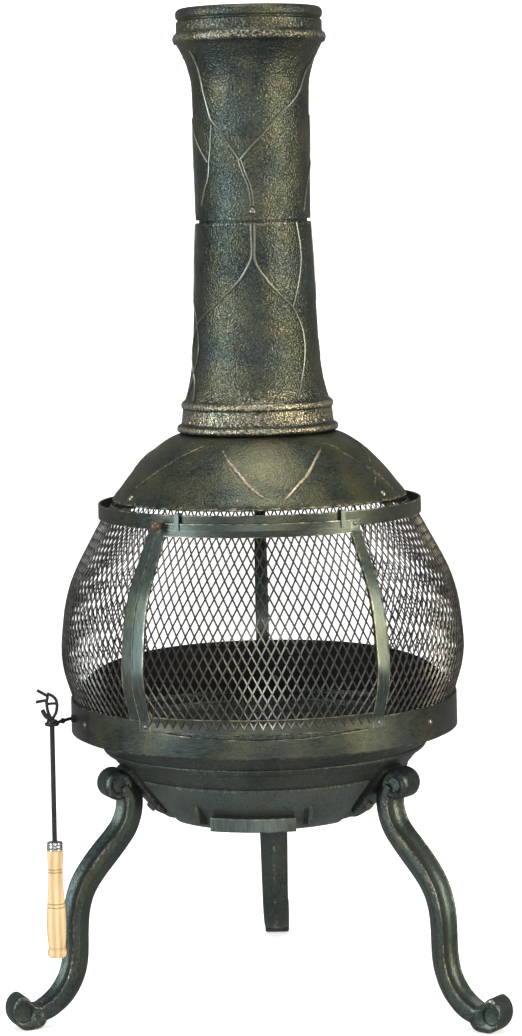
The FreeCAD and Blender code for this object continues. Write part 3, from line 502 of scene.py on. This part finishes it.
sh.done("dome_casting", M_DOME, "stand", ("dome",))

# ------------------------------------------------------------ hoop and ring
sh = Shape()
lathe(sh, rounded([(184.0, 555.0, 0.2), (186.5, 555.0, 0.45), (186.5, 572.0, 0.5), (184.0, 572.0, 0.3)], 0.7), step=3)
sh.done("hoop_band", M_BAND, "stand", ("top_hoop",))

sh = Shape()
ring_n = 320
verts, rub_and_shade = [], []
for k in range(ring_n):
    phi = 360.0 * k / ring_n
    q = P(222.7, 0, phi)
    x, y = q[0] - AX, q[1] - AY
    top = 349.0
    if y < 0 and abs(x) < 121:
        dip = 332.5 + 1322.0 - math.sqrt(1322.0 ** 2 - x * x)
        t = min(1.0, max(0.0, (121 - abs(x)) / 6.0))
        top = 349.0 + (dip - 349.0) * t
    sec = rounded([(220.2, 311.0, 0.1), (222.7, 311.0, 0.35), (222.7, top, 0.40), (220.2, top, 0.25)], 0.7, 2)
    for r, z, w in sec:
        verts.append(P(r, z, phi))
        rub_and_shade.append(w)
m = len(sec)
faces = [(k * m + i, k * m + (i + 1) % m, ((k + 1) % ring_n) * m + (i + 1) % m, ((k + 1) % ring_n) * m + i) for k in range(ring_n) for i in range(m)]
sh.add(verts, faces, rub_and_shade)
sh.done("ring_sheet", M_BAND, "stand", ("ring_band",))

# --------------------------------------------------------------- fire bowl
SL = 0.857


def cone(z):
    return 173.0 + SL * (z - 278.0)


sh = Shape()
prof = [(0.01, 214.0, 0, 0)] + straight([(20, 214.0, 0, 0.5), (108, 214.0, 0.05, 0.8)], 4)
prof += [p + (0.1, 0.8) for p in smooth([(110, 214.0), (115.0, 215.2), (119.0, 217.4), (cone(221), 221)], 1.5)]
prof += straight([(cone(222.5), 222.5, 0.1, 1), (cone(285), 285, 0.12, 1)], 2.0)
prof += smooth([(cone(285.6) + 1.0, 285.4, 0.1, 0), (cone(286.5) + 3.0, 286.6, 0.25, 0), (cone(289) + 3.6, 289.2, 0.30, 0), (cone(291.5) + 2.4, 291.8, 0.2, 0), (cone(293.2), 293.2, 0.1, 0)], 0.8)
prof += straight([(cone(294), 294, 0.1, 1), (cone(305.5), 305.5, 0.1, 1)], 2) + [(cone(306) + 4, 307.2, 0.1, 0), (217.4, 308.7, 0.1, 0), (218.2, 310.0, 0, 0)]
prof += [(218.2, 344.6, 0.1, 0), (217.9, 345.0, 0.2, 0), (215.0, 345.0, 0.2, 0), (214.7, 344.6, 0, 0), (214.7, 312.5, 0, 0), (cone(306) - 4.5, 309.5, 0, 0)]
prof += straight([(cone(306) - 6.0, 306, 0, 0), (cone(224) - 5.3, 225.5, 0, 0)], 10) + [(110.5, 219.5, 0, 0), (104.0, 218.0, 0, 0), (50, 218.0, 0, 0), (0.01, 218.0, 0, 0)]
lathe(sh, prof, step=3.0, ham=0.5, closed=False, peak=0.4)
sh.done("bowl_casting", M_BOWL, "stand", ("fire_bowl",))
sh = Shape()
for mid in (-6.0, 114.0, 236.0):
    top = [(cone(267), 267.0, 0.1), (cone(265.6) + 2.6, 266.4, 0.30), (cone(264.0) + 3.4, 264.2, 0.30)]
    pad = top + [(r, z, 0.06) for r, z in straight([(cone(262) + 3.3, 262.0), (cone(224) + 3.3, 224.0)], 4)]
    pad += [(r, z, w) for r, z, w in smooth([(cone(221.5) + 3.0, 221.5, 0.1), (119.5, 215.0, 0.25), (112.0, 211.9, 0.2), (100, 211.6, 0.05), (90.0, 211.6, 0.05)], 2)]
    pad += [(90.0, 214.5, 0), (110.0, 215.5, 0), (116.0, 217.5, 0), (cone(222) - 1.0, 222.0, 0), (cone(265) - 1, 265, 0)]
    lathe(sh, pad, mid - 50, mid + 50, 3.0)
    # rolled edges down both sides of the panel
    for s in (-50.0, 50.0):
        pts = [P(cone(z) + 1.4, z, mid + s) for z in np.linspace(266, 221, 16)]
        tube(sh, pts, 2.0, 8, 0.15)
# draught block: a curved bar with a gusset at each end
blk = rounded([(118.0, 217.0, 0), (146.0, 216.0, 0.35), (146.0, 231.5, 0.40), (121.0, 231.5, 0.05)], 1.2)
half = 19.2
lathe(sh, blk, -6.3 - half, -6.3 + half, 2.5)
for s in (-1, 1):
    phi = -6.3 + s * 25.2
    a = [(132.0, 247.0), (147.0, 243.5), (142.0, 222.0), (118.0, 217.0)]
    v = [P(r, z, phi) for r, z in a] + [P(r, z, phi, 5.0 * s) for r, z in a]
    sh.add(v, [(0, 1, 2, 3), (7, 6, 5, 4), (0, 4, 5, 1), (1, 5, 6, 2), (2, 6, 7, 3), (3, 7, 4, 0)], [0.15, 0.35, 0.25, 0.1] * 2)
sh.done("bowl_panels", M_PAD, "stand", ("fire_bowl",))

# ---------------------------------------------------------------- ash guard
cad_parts["ash_guard"].data.materials.clear()
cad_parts["ash_guard"].data.materials.append(M_GUARD)

# ---------------------------------------------------------- expanded metal
CAGE = [(219.8, 318), (219.8, 349), (222.0, 356), (225.0, 365), (227.9, 374), (230.2, 383.6), (231.6, 393), (232.2, 402),
        (231.9, 411), (231.2, 420), (230.2, 430), (228.2, 448), (224.6, 466), (218.9, 484.6), (210.4, 503),
        (200.6, 521), (190.6, 539.6), (182.0, 555), (177.6, 562), (170.4, 571.0)]


def along(prof):
    s = [0.0]
    for a, b in zip(prof, prof[1:]):
        s.append(s[-1] + math.dist(a, b))

    def f(d):
        for i in range(len(prof) - 1):
            if d <= s[i + 1] or i == len(prof) - 2:
                t = (d - s[i]) / (s[i + 1] - s[i])
                r = prof[i][0] + (prof[i + 1][0] - prof[i][0]) * t
                z = prof[i][1] + (prof[i + 1][1] - prof[i][1]) * t
                tr, tz = prof[i + 1][0] - prof[i][0], prof[i + 1][1] - prof[i][1]
                ln = math.hypot(tr, tz)
                return r, z, tz / ln, -tr / ln
    return f, s[-1]


def strand(sh, p0, p1, nrm, w, t, tilt):
    d = (p1 - p0)
    ln = d.length
    d.normalize()
    s = d.cross(nrm).normalized()
    c, q = math.cos(tilt), math.sin(tilt)
    u = s * c + nrm * q
    v = nrm * c - s * q
    a, b = p0 - d * 0.7, p1 + d * 0.7
    pts = []
    for p in (a, b):
        for x, y in ((-w, -t), (w, -t), (w, t), (-w, t)):
            pts.append(tuple(p + u * (x / 2) + v * (y / 2)))
    sh.add(pts, [(3, 2, 1, 0), (4, 5, 6, 7), (0, 1, 5, 4), (1, 2, 6, 5), (2, 3, 7, 6), (3, 0, 4, 7)], 0.0)


def lattice(sh, knot, irange, jrange, keepf, w=1.7, t=1.1):
    cache = {}

    def K(i, j):
        if (i, j) not in cache:
            cache[(i, j)] = knot(i, j)
        return cache[(i, j)]
    for j in jrange:
        for i in irange:
            if (i + j) % 2:
                continue
            a = K(i, j)
            for di in (1, -1):
                b = K(i + di, j + 1)
                if a is None or b is None:
                    continue
                mid_phi, mid_z = (a[2] + b[2]) / 2, (a[0][2] + b[0][2]) / 2
                if keepf(mid_phi, mid_z):
                    strand(sh, a[0].copy(), b[0].copy(), (a[1] + b[1]).normalized(), w, t, 0.62 * di)


def surface_knots(prof, off, phi_c, dphi, s0, ds):
    f, total = along(prof)

    def knot(i, j):
        d = s0 + j * ds
        if d < -0.5 or d > total + 0.5:
            return None
        r, z, nr, nz = f(min(max(d, 0.0), total))
        phi = phi_c + i * dphi
        k = math.radians(phi)
        n = Vector((math.sin(k) * nr, -math.cos(k) * nr, nz))
        return Vector(P(r + nr * off, z + nz * off, phi)), n, phi
    return knot, total


STEP_PHI, STEP_S = 1.3045, 10.25
REAR = 142.0
knotL, total = surface_knots(CAGE, -0.6, 0.0, STEP_PHI, 1.0, STEP_S)
rows = range(0, int(total / STEP_S) + 1)
DPROF = [(223.9, 318), (225.2, 355.0), (225.6, 356.0)] + [(r + 3.6, z) for r, z in CAGE if 360 < z < 542] + [(191.3, 545.0), (189.7, 548.0), (187.6, 556.0), (187.2, 640.0)]
dknot, dtotal = surface_knots(DPROF, 1.1, -0.4, 1.29, 6.0, STEP_S)
EYE = Vector((AX, AY - 3442.0, 910.0))


def rear_knot(i, j):
    """The rear sheet's diamonds, larger than the front's by the ratio of distances."""
    k = dknot(i, j)
    if k is None:
        return None
    d = (k[0] - EYE).normalized()
    lo, hi = 3300.0, 4000.0
    for _ in range(40):
        t = (lo + hi) / 2
        p = EYE + d * t
        x, y = p.x - AX, p.y - AY
        rr = math.hypot(x, y)
        if y < 60 or rr < rad_at([(z, r) for r, z in CAGE], p.z):
            lo = t
        else:
            hi = t
    p = EYE + d * lo
    if not (314 < p.z < 574):
        return None
    x, y = p.x - AX, p.y - AY
    phi = math.degrees(math.atan2(x, -y)) % 360.0
    k2 = math.radians(phi)
    return p, Vector((math.sin(k2), -math.cos(k2), 0.1)).normalized(), phi


for name, lo, hi in (("left", -REAR, -39.4), ("right", 34.0, REAR)):
    sh = Shape()
    lattice(sh, knotL, range(int(lo / STEP_PHI) - 2, int(hi / STEP_PHI) + 3), rows, lambda p, z: lo < p < hi)
    # sheet edges
    for phi in (lo, hi):
        pts = [P(r - 0.6, z, phi) for r, z in smooth(CAGE, 6)]
        tube(sh, pts, 0.9, 6, 0.0)
    a, b = (180.0, 360.0 - REAR) if name == "left" else (REAR, 180.0)
    lattice(sh, rear_knot, range(-44, 45), range(-6, 34), lambda p, z: a <= p <= b)
    sh.done(name + "_screen_mesh", M_MESH, "stand", (name + "_screen",), crease=30)

sh = Shape()
lattice(sh, dknot, range(-27, 28), range(0, 30), lambda p, z: -34.4 < p < 32.4 and 349 < z < 553)
sh.done("door_screen_mesh", M_MESH, "door", ("door_mesh",), crease=30)


# -------------------------------------------------------- straps and rails
def strip(name, inner, thick, phi0, phi1, body, nodes, mat, edge=0.42):
    """A strap following the profile, with eased edges along both sides."""
    sh = Shape()
    line = smooth(inner, 3.0)
    n = len(line)
    fr = []
    for i, (r, z) in enumerate(line):
        a, b = line[max(i - 1, 0)], line[min(i + 1, n - 1)]
        tr, tz = b[0] - a[0], b[1] - a[1]
        ln = math.hypot(tr, tz)
        fr.append((r, z, tz / ln, -tr / ln))
    half = abs(phi1 - phi0) / 2
    mid = (phi0 + phi1) / 2
    verts, rub_and_shade = [], []
    sec = []
    e = 0.55
    for r, z, nr, nz in fr:
        hw = math.radians(half) * r
        ring = [(-hw, 0.3), (-hw, thick - e), (-hw + 0.2 * e, thick - 0.3 * e), (-hw + e, thick), (-hw + 2.6, thick + 0.02), (-hw * 0.33, thick + 0.05), (hw * 0.33, thick + 0.05),
                (hw - 2.6, thick + 0.02), (hw - e, thick), (hw - 0.2 * e, thick - 0.3 * e), (hw, thick - e), (hw, 0.3), (hw - 0.3, 0.0), (-hw + 0.3, 0.0)]
        wts = [0.1, edge, edge + 0.25, edge + 0.1, 0.10, 0.06, 0.06, 0.10, edge + 0.1, edge + 0.25, edge, 0.1, 0, 0]
        for (s, u), w in zip(ring, wts):
            jit = 0.25 * noise.noise(Vector((s * 0.2, z * 0.06, mid)))
            verts.append(P(r + nr * u, z + nz * u, mid, s))
            rub_and_shade.append(w + jit)
    m = 14
    faces = [(i * m + k, i * m + (k + 1) % m, (i + 1) * m + (k + 1) % m, (i + 1) * m + k) for i in range(n - 1) for k in range(m)]
    faces += [tuple(range(m))[::-1], tuple(range((n - 1) * m, n * m))]
    sh.add(verts, faces, rub_and_shade)
    return sh.done(name, mat, body, nodes)


POST = [(r + 0.3, z) for r, z in CAGE if 349 <= z <= 555]
strip("left_post_strap", POST, 2.5, -41.6, -37.6, "stand", ("left_post",), M_STRAP)
strip("right_post_strap", POST, 2.5, 31.8, 35.8, "stand", ("right_post",), M_STRAP)
strip("rear_post_strap", POST, 2.5, 178.0, 182.0, "stand", ("rear_post",), M_STRAP)
FLOOR_R, HEAD_R = 223.3, 187.2
STILE = [(FLOOR_R, 338.0), (FLOOR_R, 346.0), (FLOOR_R + 0.6, 351.5)] + [(r + 3.6, z) for r, z in CAGE if 356 <= z <= 542] + \
    [(191.3, 545.0), (189.9, 547.5), (188.7, 550.0), (187.8, 552.6), (HEAD_R, 556.0), (HEAD_R, 563.0)]
strip("door_left_strap", STILE, 2.5, -37.4, -33.4, "door", ("door_left_stile",), M_STRAP, 0.5)
strip("door_right_strap", STILE, 2.5, 31.6, 35.6, "door", ("door_right_stile",), M_STRAP, 0.5)
M_RAIL = metal("door rail", grain=0.15, gold=0.8, rough=0.36, brushed=(0.25, 0.25, 1.4), dark=(0.035, 0.045, 0.042), mid=(0.10, 0.12, 0.105), bias=0.04)
sh = Shape()
lathe(sh, rounded([(FLOOR_R, 338.0, 0.1), (FLOOR_R + 2.5, 338.0, 0.5), (FLOOR_R + 2.5, 349.0, 0.02), (FLOOR_R + 4.4, 355.0, 0.6), (FLOOR_R + 1.9, 355.0, 0.4), (FLOOR_R, 349.0, 0)], 0.7), -33.4, 31.6, 2.5)
sh.done("door_sill", M_RAIL, "door", ("door_bottom_rail",))
sh = Shape()
lathe(sh, rounded([(HEAD_R, 563.0, 0.3), (HEAD_R + 2.5, 563.0, 0.5), (HEAD_R + 2.5, 555.0, 0.02), (HEAD_R + 5.0, 548.0, 0.5), (HEAD_R + 2.5, 548.0, 0.2), (HEAD_R, 555.0, 0)], 0.7), -33.4, 31.6, 2.5)
sh.done("door_head", M_RAIL, "door", ("door_top_rail",))

# --------------------------------------------------------------------- legs
SPINE = [(176.0, 264.0, 22.0), (170.5, 255.0, 25.0), (167.2, 246.0, 26.0), (166.3, 237.0, 26.0), (168.5, 223.5, 26.0),
         (174.5, 209.5, 26.5), (184.2, 197.2, 27.0), (195.2, 185.4, 28.0), (206.3, 173.4, 28.0), (216.6, 161.0, 27.5),
         (224.6, 148.6, 27.0), (229.8, 136.0, 26.2), (233.0, 123.0, 26.0), (234.5, 110.0, 25.8), (235.1, 97.0, 25.5),
         (235.4, 83.0, 25.5), (236.4, 70.0, 25.8), (238.9, 57.5, 25.8), (243.6, 45.8, 25.2), (250.6, 35.4, 24.4),
         (259.6, 26.6, 22.8), (270.6, 19.8, 20.6), (283.0, 15.2, 17.0)]


def sweep(sh, line, section, phi, last=None):
    n = len(line)
    verts, rub_and_shade = [], []
    for i, p in enumerate(line):
        a, b = line[max(i - 1, 0)], line[min(i + 1, n - 1)]
        tr, tz = b[0] - a[0], b[1] - a[1]
        ln = math.hypot(tr, tz)
        nr, nz = -tz / ln, tr / ln
        sec = section(p, i / (n - 1.0))
        for u, v, w in sec:
            z = p[1] + nz * u
            verts.append(P(p[0] + nr * u, max(z, 0.0), phi, v))
            rub_and_shade.append(w + 0.22 * noise.noise(Vector((p[0] * 0.06, p[1] * 0.06, v * 0.1))))
    m = len(sec)
    faces = [(i * m + k, i * m + (k + 1) % m, (i + 1) * m + (k + 1) % m, (i + 1) * m + k) for i in range(n - 1) for k in range(m)]
    faces += [tuple(range(m))[::-1], tuple(range((n - 1) * m, n * m))]
    sh.add(verts, faces, rub_and_shade)


def leg_section(p, t):
    d, k = p[2], 1.12 - 0.24 * t
    hw = 17.0 * k
    f = 7.0 * k
    o = 0.5 * d
    s = min(max((t - 0.79) / 0.21, 0.0), 1.0)

    def low(u, v, u1, v1):
        return (u + (u1 - u) * s) * d, (v + (v1 - v) * s) * hw

    half = [(o - f, 0.0, 0.0), (o - f + 0.3, 0.22 * hw, 0.0), (o - f + 1.3, 0.42 * hw, 0.0), (o - f * 0.52, 0.60 * hw, 0.0), (o - 1.1, 0.76 * hw, 0.1),
            (o - 0.25, 0.81 * hw, 0.30), (o, 0.86 * hw, 0.46), (o - 0.1, 0.94 * hw, 0.46), (o - 0.9, 0.99 * hw, 0.36), (o - 2.2, hw, 0.3),
            (*low(0.30, 1.0, 0.24, 1.0), 0.06), (*low(0.18, 1.0, -0.28, 1.0), 0.10), (*low(0.13, 0.985, -0.36, 0.985), 0.32),
            (*low(0.08, 0.92, -0.42, 0.93), 0.1), (*low(-0.20, 0.48, -0.46, 0.82), 0.05),
            (*low(-0.44, 0.14, -0.49, 0.5), 0.1), (*low(-0.49, 0.05, -0.5, 0.2), 0.36)]
    return [(u, v, w) for u, v, w in half] + [(-0.5 * d, 0, 0.40)] + [(u, -v, w) for u, v, w in half[:0:-1]]


TOE = [(279.5, 7.6), (284.0, 2.4), (290.0, 0.2), (297.0, 0.0), (304.0, 0.2), (309.5, 3.0), (315.5, 9.6), (318.8, 18.4),
       (318.0, 28.0), (313.4, 35.2), (306.5, 38.4), (300.5, 35.6), (295.4, 29.0), (290.0, 25.2), (281.0, 24.0)]
DISH = (305.8, 19.2)


def toe(sh, phi):
    """Upturned toe: a thick rolled rim round a dished side."""
    line = smooth(TOE, 1.4)
    n = len(line)
    nrm, ray = [], []
    for i in range(n):
        a, b = line[max(i - 1, 0)], line[min(i + 1, n - 1)]
        tr, tz = b[0] - a[0], b[1] - a[1]
        ln = math.hypot(tr, tz) or 1
        nrm.append((-tz / ln, tr / ln))
        dr, dz = line[i][0] - DISH[0], line[i][1] - DISH[1]
        ln = math.hypot(dr, dz)
        ray.append((dr / ln, dz / ln, ln))
    # (distance in from the outline or -radius of the dish, half width, rub)
    steps = [(0.0, 12.0, 0.08), (0.35, 13.6, 0.40), (1.3, 14.6, 0.44), ("m", 14.7, 0.12), (-10.6, 14.5, 0.34), (-9.8, 13.7, 0.30), (-9.3, 11.4, 0.0), (-4.0, 10.8, 0.0)]
    rows = [(v, d, w, -1) for d, v, w in steps[::-1]] + [(0.0, 0.0, 0.02, 0)] + [(v, d, w, 1) for d, v, w in steps]
    verts, rub_and_shade = [], []
    for v, d, w, s in rows:
        for (r, z), (nr, nz), (cr, cz, ln) in zip(line, nrm, ray):
            if d == "m":
                q = 0.5 * (ln + 10.6)
                r2, z2 = DISH[0] + cr * q, DISH[1] + cz * q
            elif d < 0:
                r2, z2 = DISH[0] + cr * -d, DISH[1] + cz * -d
            else:
                r2, z2 = r + nr * d, z + nz * d
            verts.append(P(r2, max(z2, 0.0), phi, v * s))
            rub_and_shade.append(w + 0.2 * noise.noise(Vector((r2 * 0.08, z2 * 0.08, v * s * 0.1))) * (w > 0))
    faces = [(j * n + i, j * n + (i + 1) % n, (j + 1) * n + (i + 1) % n, (j + 1) * n + i) for j in range(len(rows) - 1) for i in range(n)]
    faces += [tuple(range(n))[::-1], tuple(range((len(rows) - 1) * n, len(rows) * n))]
    sh.add(verts, faces, rub_and_shade)


def barrel(sh, r0, z0, rad, half, phi, rub_edge=0.6, bev=5.0, hub=True):
    """A short cylinder across the leg with rolled rims and dished ends."""
    loop = [(0.01, half - 3.0, 0.1), (rad * 0.45, half - 3.0, 0.1), (rad * 0.52, half - 1.2, 0.4), (rad * 0.72, half, 0.15), (rad - bev * 0.8, half, rub_edge), (rad - bev * 0.3, half - bev * 0.35, rub_edge),
            (rad, half - bev, 0.25), (rad, half * 0.3, 0.02), (rad, 0, 0.0)]
    loop = loop + [(a, -b, c) for a, b, c in loop[-2::-1]]
    verts, rub_and_shade = [], []
    n = 40
    for k in range(n):
        a = 2 * math.pi * k / n
        for rr, y, w in loop:
            verts.append(P(r0 + rr * math.cos(a), z0 + rr * math.sin(a), phi, y))
            rub_and_shade.append(w)
    m = len(loop)
    faces = [(k * m + i, k * m + i + 1, ((k + 1) % n) * m + i + 1, ((k + 1) % n) * m + i) for k in range(n) for i in range(m - 1)]
    sh.add(verts, faces, rub_and_shade)


for name, phi in (("left", -66.0), ("right", 54.0), ("rear", 178.0)):
    sh = Shape()
    sweep(sh, smooth(SPINE, 3.2), leg_section, phi)
    toe(sh, phi)
    barrel(sh, 187.0, 261.5, 17.0, 18.0, phi, 0.32, 6.0)
    # mounting plate against the bowl
    n1, n2 = math.cos(math.atan2(-SL, 1)), math.sin(math.atan2(-SL, 1))
    pl = rounded([(cone(279) + 0.3, 279, 0.1), (cone(227) + 0.3, 227, 0.1), (cone(227) + 6.2 * n1, 227 + 6.2 * n2, 0.55), (cone(279) + 6.2 * n1, 279 + 6.2 * n2, 0.4)], 1.5)
    lathe(sh, pl, phi - 6.5, phi + 6.5, 2.5)
    sh.done("leg_casting_" + name, M_LEG, "stand", ("leg_" + name,), crease=55)

# -------------------------------------------------------------------- poker
PX, PY = -237.0, -122.0
HZ = 341.6


def pk(dx, dz, dy=0.0):
    return (AX + PX + dx, AY + PY + dy, HZ + dz)


def curve3(pts, step=1.2):
    out = smooth([(p[0], p[2], p[1]) for p in pts], step)
    return [(a, c, b) for a, b, c in out]


sh = Shape()
tube(sh, [pk(0, z) for z in np.linspace(-176.6, 2.5, 60)], [2.75] * 60, 16)
tube(sh, curve3([pk(0, 1.5), pk(3.4, 6.4), pk(5.4, 11.5), pk(6.0, 18.3), pk(4.6, 24.0), pk(0.5, 28.0), pk(-5.0, 30.6)]), 1.75, 12)
tube(sh, curve3([pk(0, 1.5), pk(-3.4, 8.0), pk(-5.0, 14.3), pk(-5.5, 21.2), pk(-4.6, 27.2), pk(-9.0, 30.4), pk(-16.0, 34.4)]), 1.75, 12)
tube(sh, curve3([pk(-5.2, 22.9), pk(-11.0, 22.2), pk(-17.4, 21.2)]), 1.75, 12)
tube(sh, curve3([pk(0, 2.0), pk(-5.4, 4.2), pk(-8.4, 8.0), pk(-10.5, 12.3)]), 2.5, 12)
tube(sh, curve3([pk(-5.4, 18.7), pk(0, 19.2), pk(5.8, 19.3)]), 1.5, 12)
tube(sh, [pk(0, z) for z in (-1.4, -1.3, -0.9, 0.0, 0.9, 1.3)], [4.6, 5.6, 6.2, 6.2, 5.6, 4.6], 24)
sh.done("poker_bar", M_BLACK, "poker", ("poker_rod",))


def turned(name, loop, mat, body, nodes, n=72):
    sh = Shape()
    verts, rub_and_shade = [], []
    for k in range(n):
        a = 2 * math.pi * k / n
        for r, z, w in loop:
            verts.append((AX + PX + r * math.cos(a), AY + PY + r * math.sin(a), z))
            rub_and_shade.append(w)
    m = len(loop)
    faces = [(k * m + i, k * m + i + 1, ((k + 1) % n) * m + i + 1, ((k + 1) % n) * m + i) for k in range(n) for i in range(m - 1)]
    sh.add(verts, faces, rub_and_shade)
    return sh.done(name, mat, body, nodes, crease=50)


# A turned groove; its third values paint shade into the wood, deepest at the groove's bottom.
def groove(r, z, d=0.9, w=0.8):
    return [(r, z + w, 0.0), (r - d * 0.8, z + w * 0.35, 0.5), (r - d, z, 0.7), (r - d * 0.8, z - w * 0.35, 0.5), (r, z - w, 0.0)]


# Third values on this profile are painted shade in the wood: the crease under the ferrule, the grooves, and the end
# bead's neck and underside.
hp = [(2.9, 204.6, 0), (7.5, 204.6, 0), (7.5, 197.7, 0), (8.5, 197.5, 0.3), (8.9, 197.0, 0.1)]
hp += [p + (0.0,) for p in smooth([(9.0, 195), (9.1, 192), (8.8, 184), (8.5, 178.5)], 1.5)]
hp += groove(8.45, 176.6) + groove(8.35, 173.4) + [(8.3, 171, 0)]
hp += [p + (0.0,) for p in smooth([(8.3, 168), (8.5, 160), (9.0, 150.5), (9.8, 140)], 1.5)]
hp += groove(9.9, 138.4) + groove(10.15, 134.6) + [(10.3, 132.0, 0)]
hp += [p + (0.0,) for p in smooth([(10.4, 130), (10.9, 120), (10.95, 113), (10.6, 102), (9.8, 93)], 1.5)]
hp += [p + (w,) for p, w in zip([(9.55, 91), (9.3, 89.2), (9.6, 87.6), (10.4, 85.0), (10.8, 82.5), (10.4, 80.2), (9.4, 78.8), (7.5, 78.5), (0.01, 78.5)], (0, 0.35, 0.2, 0, 0, 0.05, 0.15, 0.1, 0))]
turned("poker_grip", hp, M_WOOD, "poker", ("poker_handle",))
fp = [(2.9, 206.4, 0), (7.4, 206.5, 0), (8.4, 206.2, 0), (8.8, 205.6, 0), (8.8, 203.4, 0), (8.55, 202.9, 0), (8.8, 202.4, 0), (8.85, 199.4, 0), (8.6, 199.0, 0), (8.85, 198.6, 0), (8.85, 197.8, 0), (8.6, 197.6, 0), (7.6, 197.6, 0), (7.6, 204.8, 0)]
turned("poker_cap", fp, M_TIN, "poker", ("poker_ferrule",))

# the hook's wire, bent forwards to an eye round the poker
sh = Shape()
hz = 332.0
eye = Vector((AX + PX, AY + PY, hz + 6.0))
elbow = Vector(P(229.0, hz, -76.0))
reach = (elbow - eye).normalized()
a0 = math.atan2(reach.y, reach.x)
pts = [P(208.0, hz, -76.0), P(216.0, hz, -76.0), P(224.0, hz, -76.0), P(227.6, hz + 0.1, -76.0)]
pts += [tuple(elbow.lerp(eye, 0.05)), tuple(elbow.lerp(eye, 0.3)), tuple(elbow.lerp(eye, 0.6)), tuple(eye + reach * 9.5)]
ring = [tuple(eye + Vector((math.cos(a0 + t), math.sin(a0 + t), 0)) * 6.4) for t in np.linspace(0.0, -5.2, 34)]
tube(sh, curve3(pts + [tuple(eye + reach * 6.6)], 1.5), 1.9, 12)
tube(sh, ring, 1.9, 12)
tube(sh, [tuple(elbow.lerp(eye, t)) for t in (0.33, 0.345, 0.40, 0.415)], [2.4, 3.3, 3.3, 2.4], 6)
sh.done("hook_wire", M_BLACK, "stand", ("poker_hook",))

# ------------------------------------------------ nodes that stay as they are
for node, mat in (("log_grate", M_BLACK), ("dome_brackets", M_STRAP), ("door_hooks", M_STRAP), ("door_pull", M_KNOB), ("door_rivets", M_ZINC),
                  ("leg_bolts", M_ZINC), ("leg_studs", M_ZINC), ("leg_nuts", M_ZINC), ("ring_screws", M_ZINC), ("ring_nuts", M_ZINC),
                  ("dome_screws", M_ZINC), ("collar_screws", M_ZINC), ("stack_screws", M_ZINC), ("hook_nuts", M_BLACK)):
    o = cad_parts[node]
    if o.data.materials:
        for i in range(len(o.data.materials)):
            o.data.materials[i] = mat
    else:
        o.data.materials.append(mat)

# -------------------------------------------------------------------- stage
def backdrop(name, size, loc, rot, col, emit):
    me = bpy.data.meshes.new(name)
    s = size / 2
    me.from_pydata([(-s, -s, 0), (s, -s, 0), (s, s, 0), (-s, s, 0)], [], [(0, 1, 2, 3)])
    m, nt, b = new_mat(name)
    b.inputs["Base Color"].default_value = (*col, 1)
    b.inputs["Roughness"].default_value = 0.9
    b.inputs["Emission Color"].default_value = (1, 1, 1, 1)
    b.inputs["Emission Strength"].default_value = emit
    me.materials.append(m)
    o = bpy.data.objects.new(name, me)
    o.location, o.rotation_euler = loc, rot
    bpy.context.scene.collection.objects.link(o)
    return o


floor = backdrop("floor", 60.0, (0, 0, -0.0005), (0, 0, 0), (0.9, 0.9, 0.9), 0.55)
wall = backdrop("wall", 60.0, (0, 12.0, 0), (math.radians(90), 0, 0), (0.9, 0.9, 0.9), 1.1)
for o in (floor, wall):
    o.visible_glossy = False


def light(name, loc, target, sx, sy, power, col):
    l = bpy.data.lights.new(name, "AREA")
    l.shape, l.size, l.size_y, l.energy, l.color = "RECTANGLE", sx, sy, power, col
    o = bpy.data.objects.new(name, l)
    o.location = loc
    o.rotation_euler = (Vector(target) - Vector(loc)).to_track_quat("-Z", "Y").to_euler()
    bpy.context.scene.collection.objects.link(o)


light("left", (-3.0, -1.9, 1.2), (0, 0, 0.6), 0.9, 2.4, 82, (0.84, 0.95, 1.0))
light("right", (3.0, -1.8, 1.2), (0, 0, 0.6), 0.9, 2.4, 82, (1.0, 0.94, 0.76))
light("top", (0, -0.6, 3.2), (0, 0, 0.4), 1.6, 1.6, 40, (1.0, 1.0, 1.0))
light("low", (0.0, -3.0, 0.35), (0, 0, 0.25), 1.8, 0.5, 16, (1.0, 1.0, 1.0))
world = bpy.context.scene.world or bpy.data.worlds.new("world")
bpy.context.scene.world = world
world.use_nodes = True
bg = world.node_tree.nodes.get("Background")
bg.inputs[0].default_value = (1, 1, 1, 1)
bg.inputs[1].default_value = 0.22

cam = bpy.data.cameras.new("camera")
cam.sensor_fit = "VERTICAL"
cam.sensor_height = 36.0
cam.lens = 103.4
cam.shift_x, cam.shift_y = 0.0079, -0.3005
cam.clip_end = 200
cam.dof.use_dof = False
co = bpy.data.objects.new("camera", cam)
co.location = (AX / 1000, AY / 1000 - 3.442, 0.910)
co.rotation_mode = "QUATERNION"
from mathutils import Quaternion
co.rotation_quaternion = Quaternion((1, 0, 0), math.radians(90)) @ Quaternion((0, 0, 1), math.radians(-1.295))
bpy.context.scene.collection.objects.link(co)
bpy.context.scene.camera = co
bpy.context.scene.view_settings.view_transform = "Standard"

bpy.context.view_layer.update()
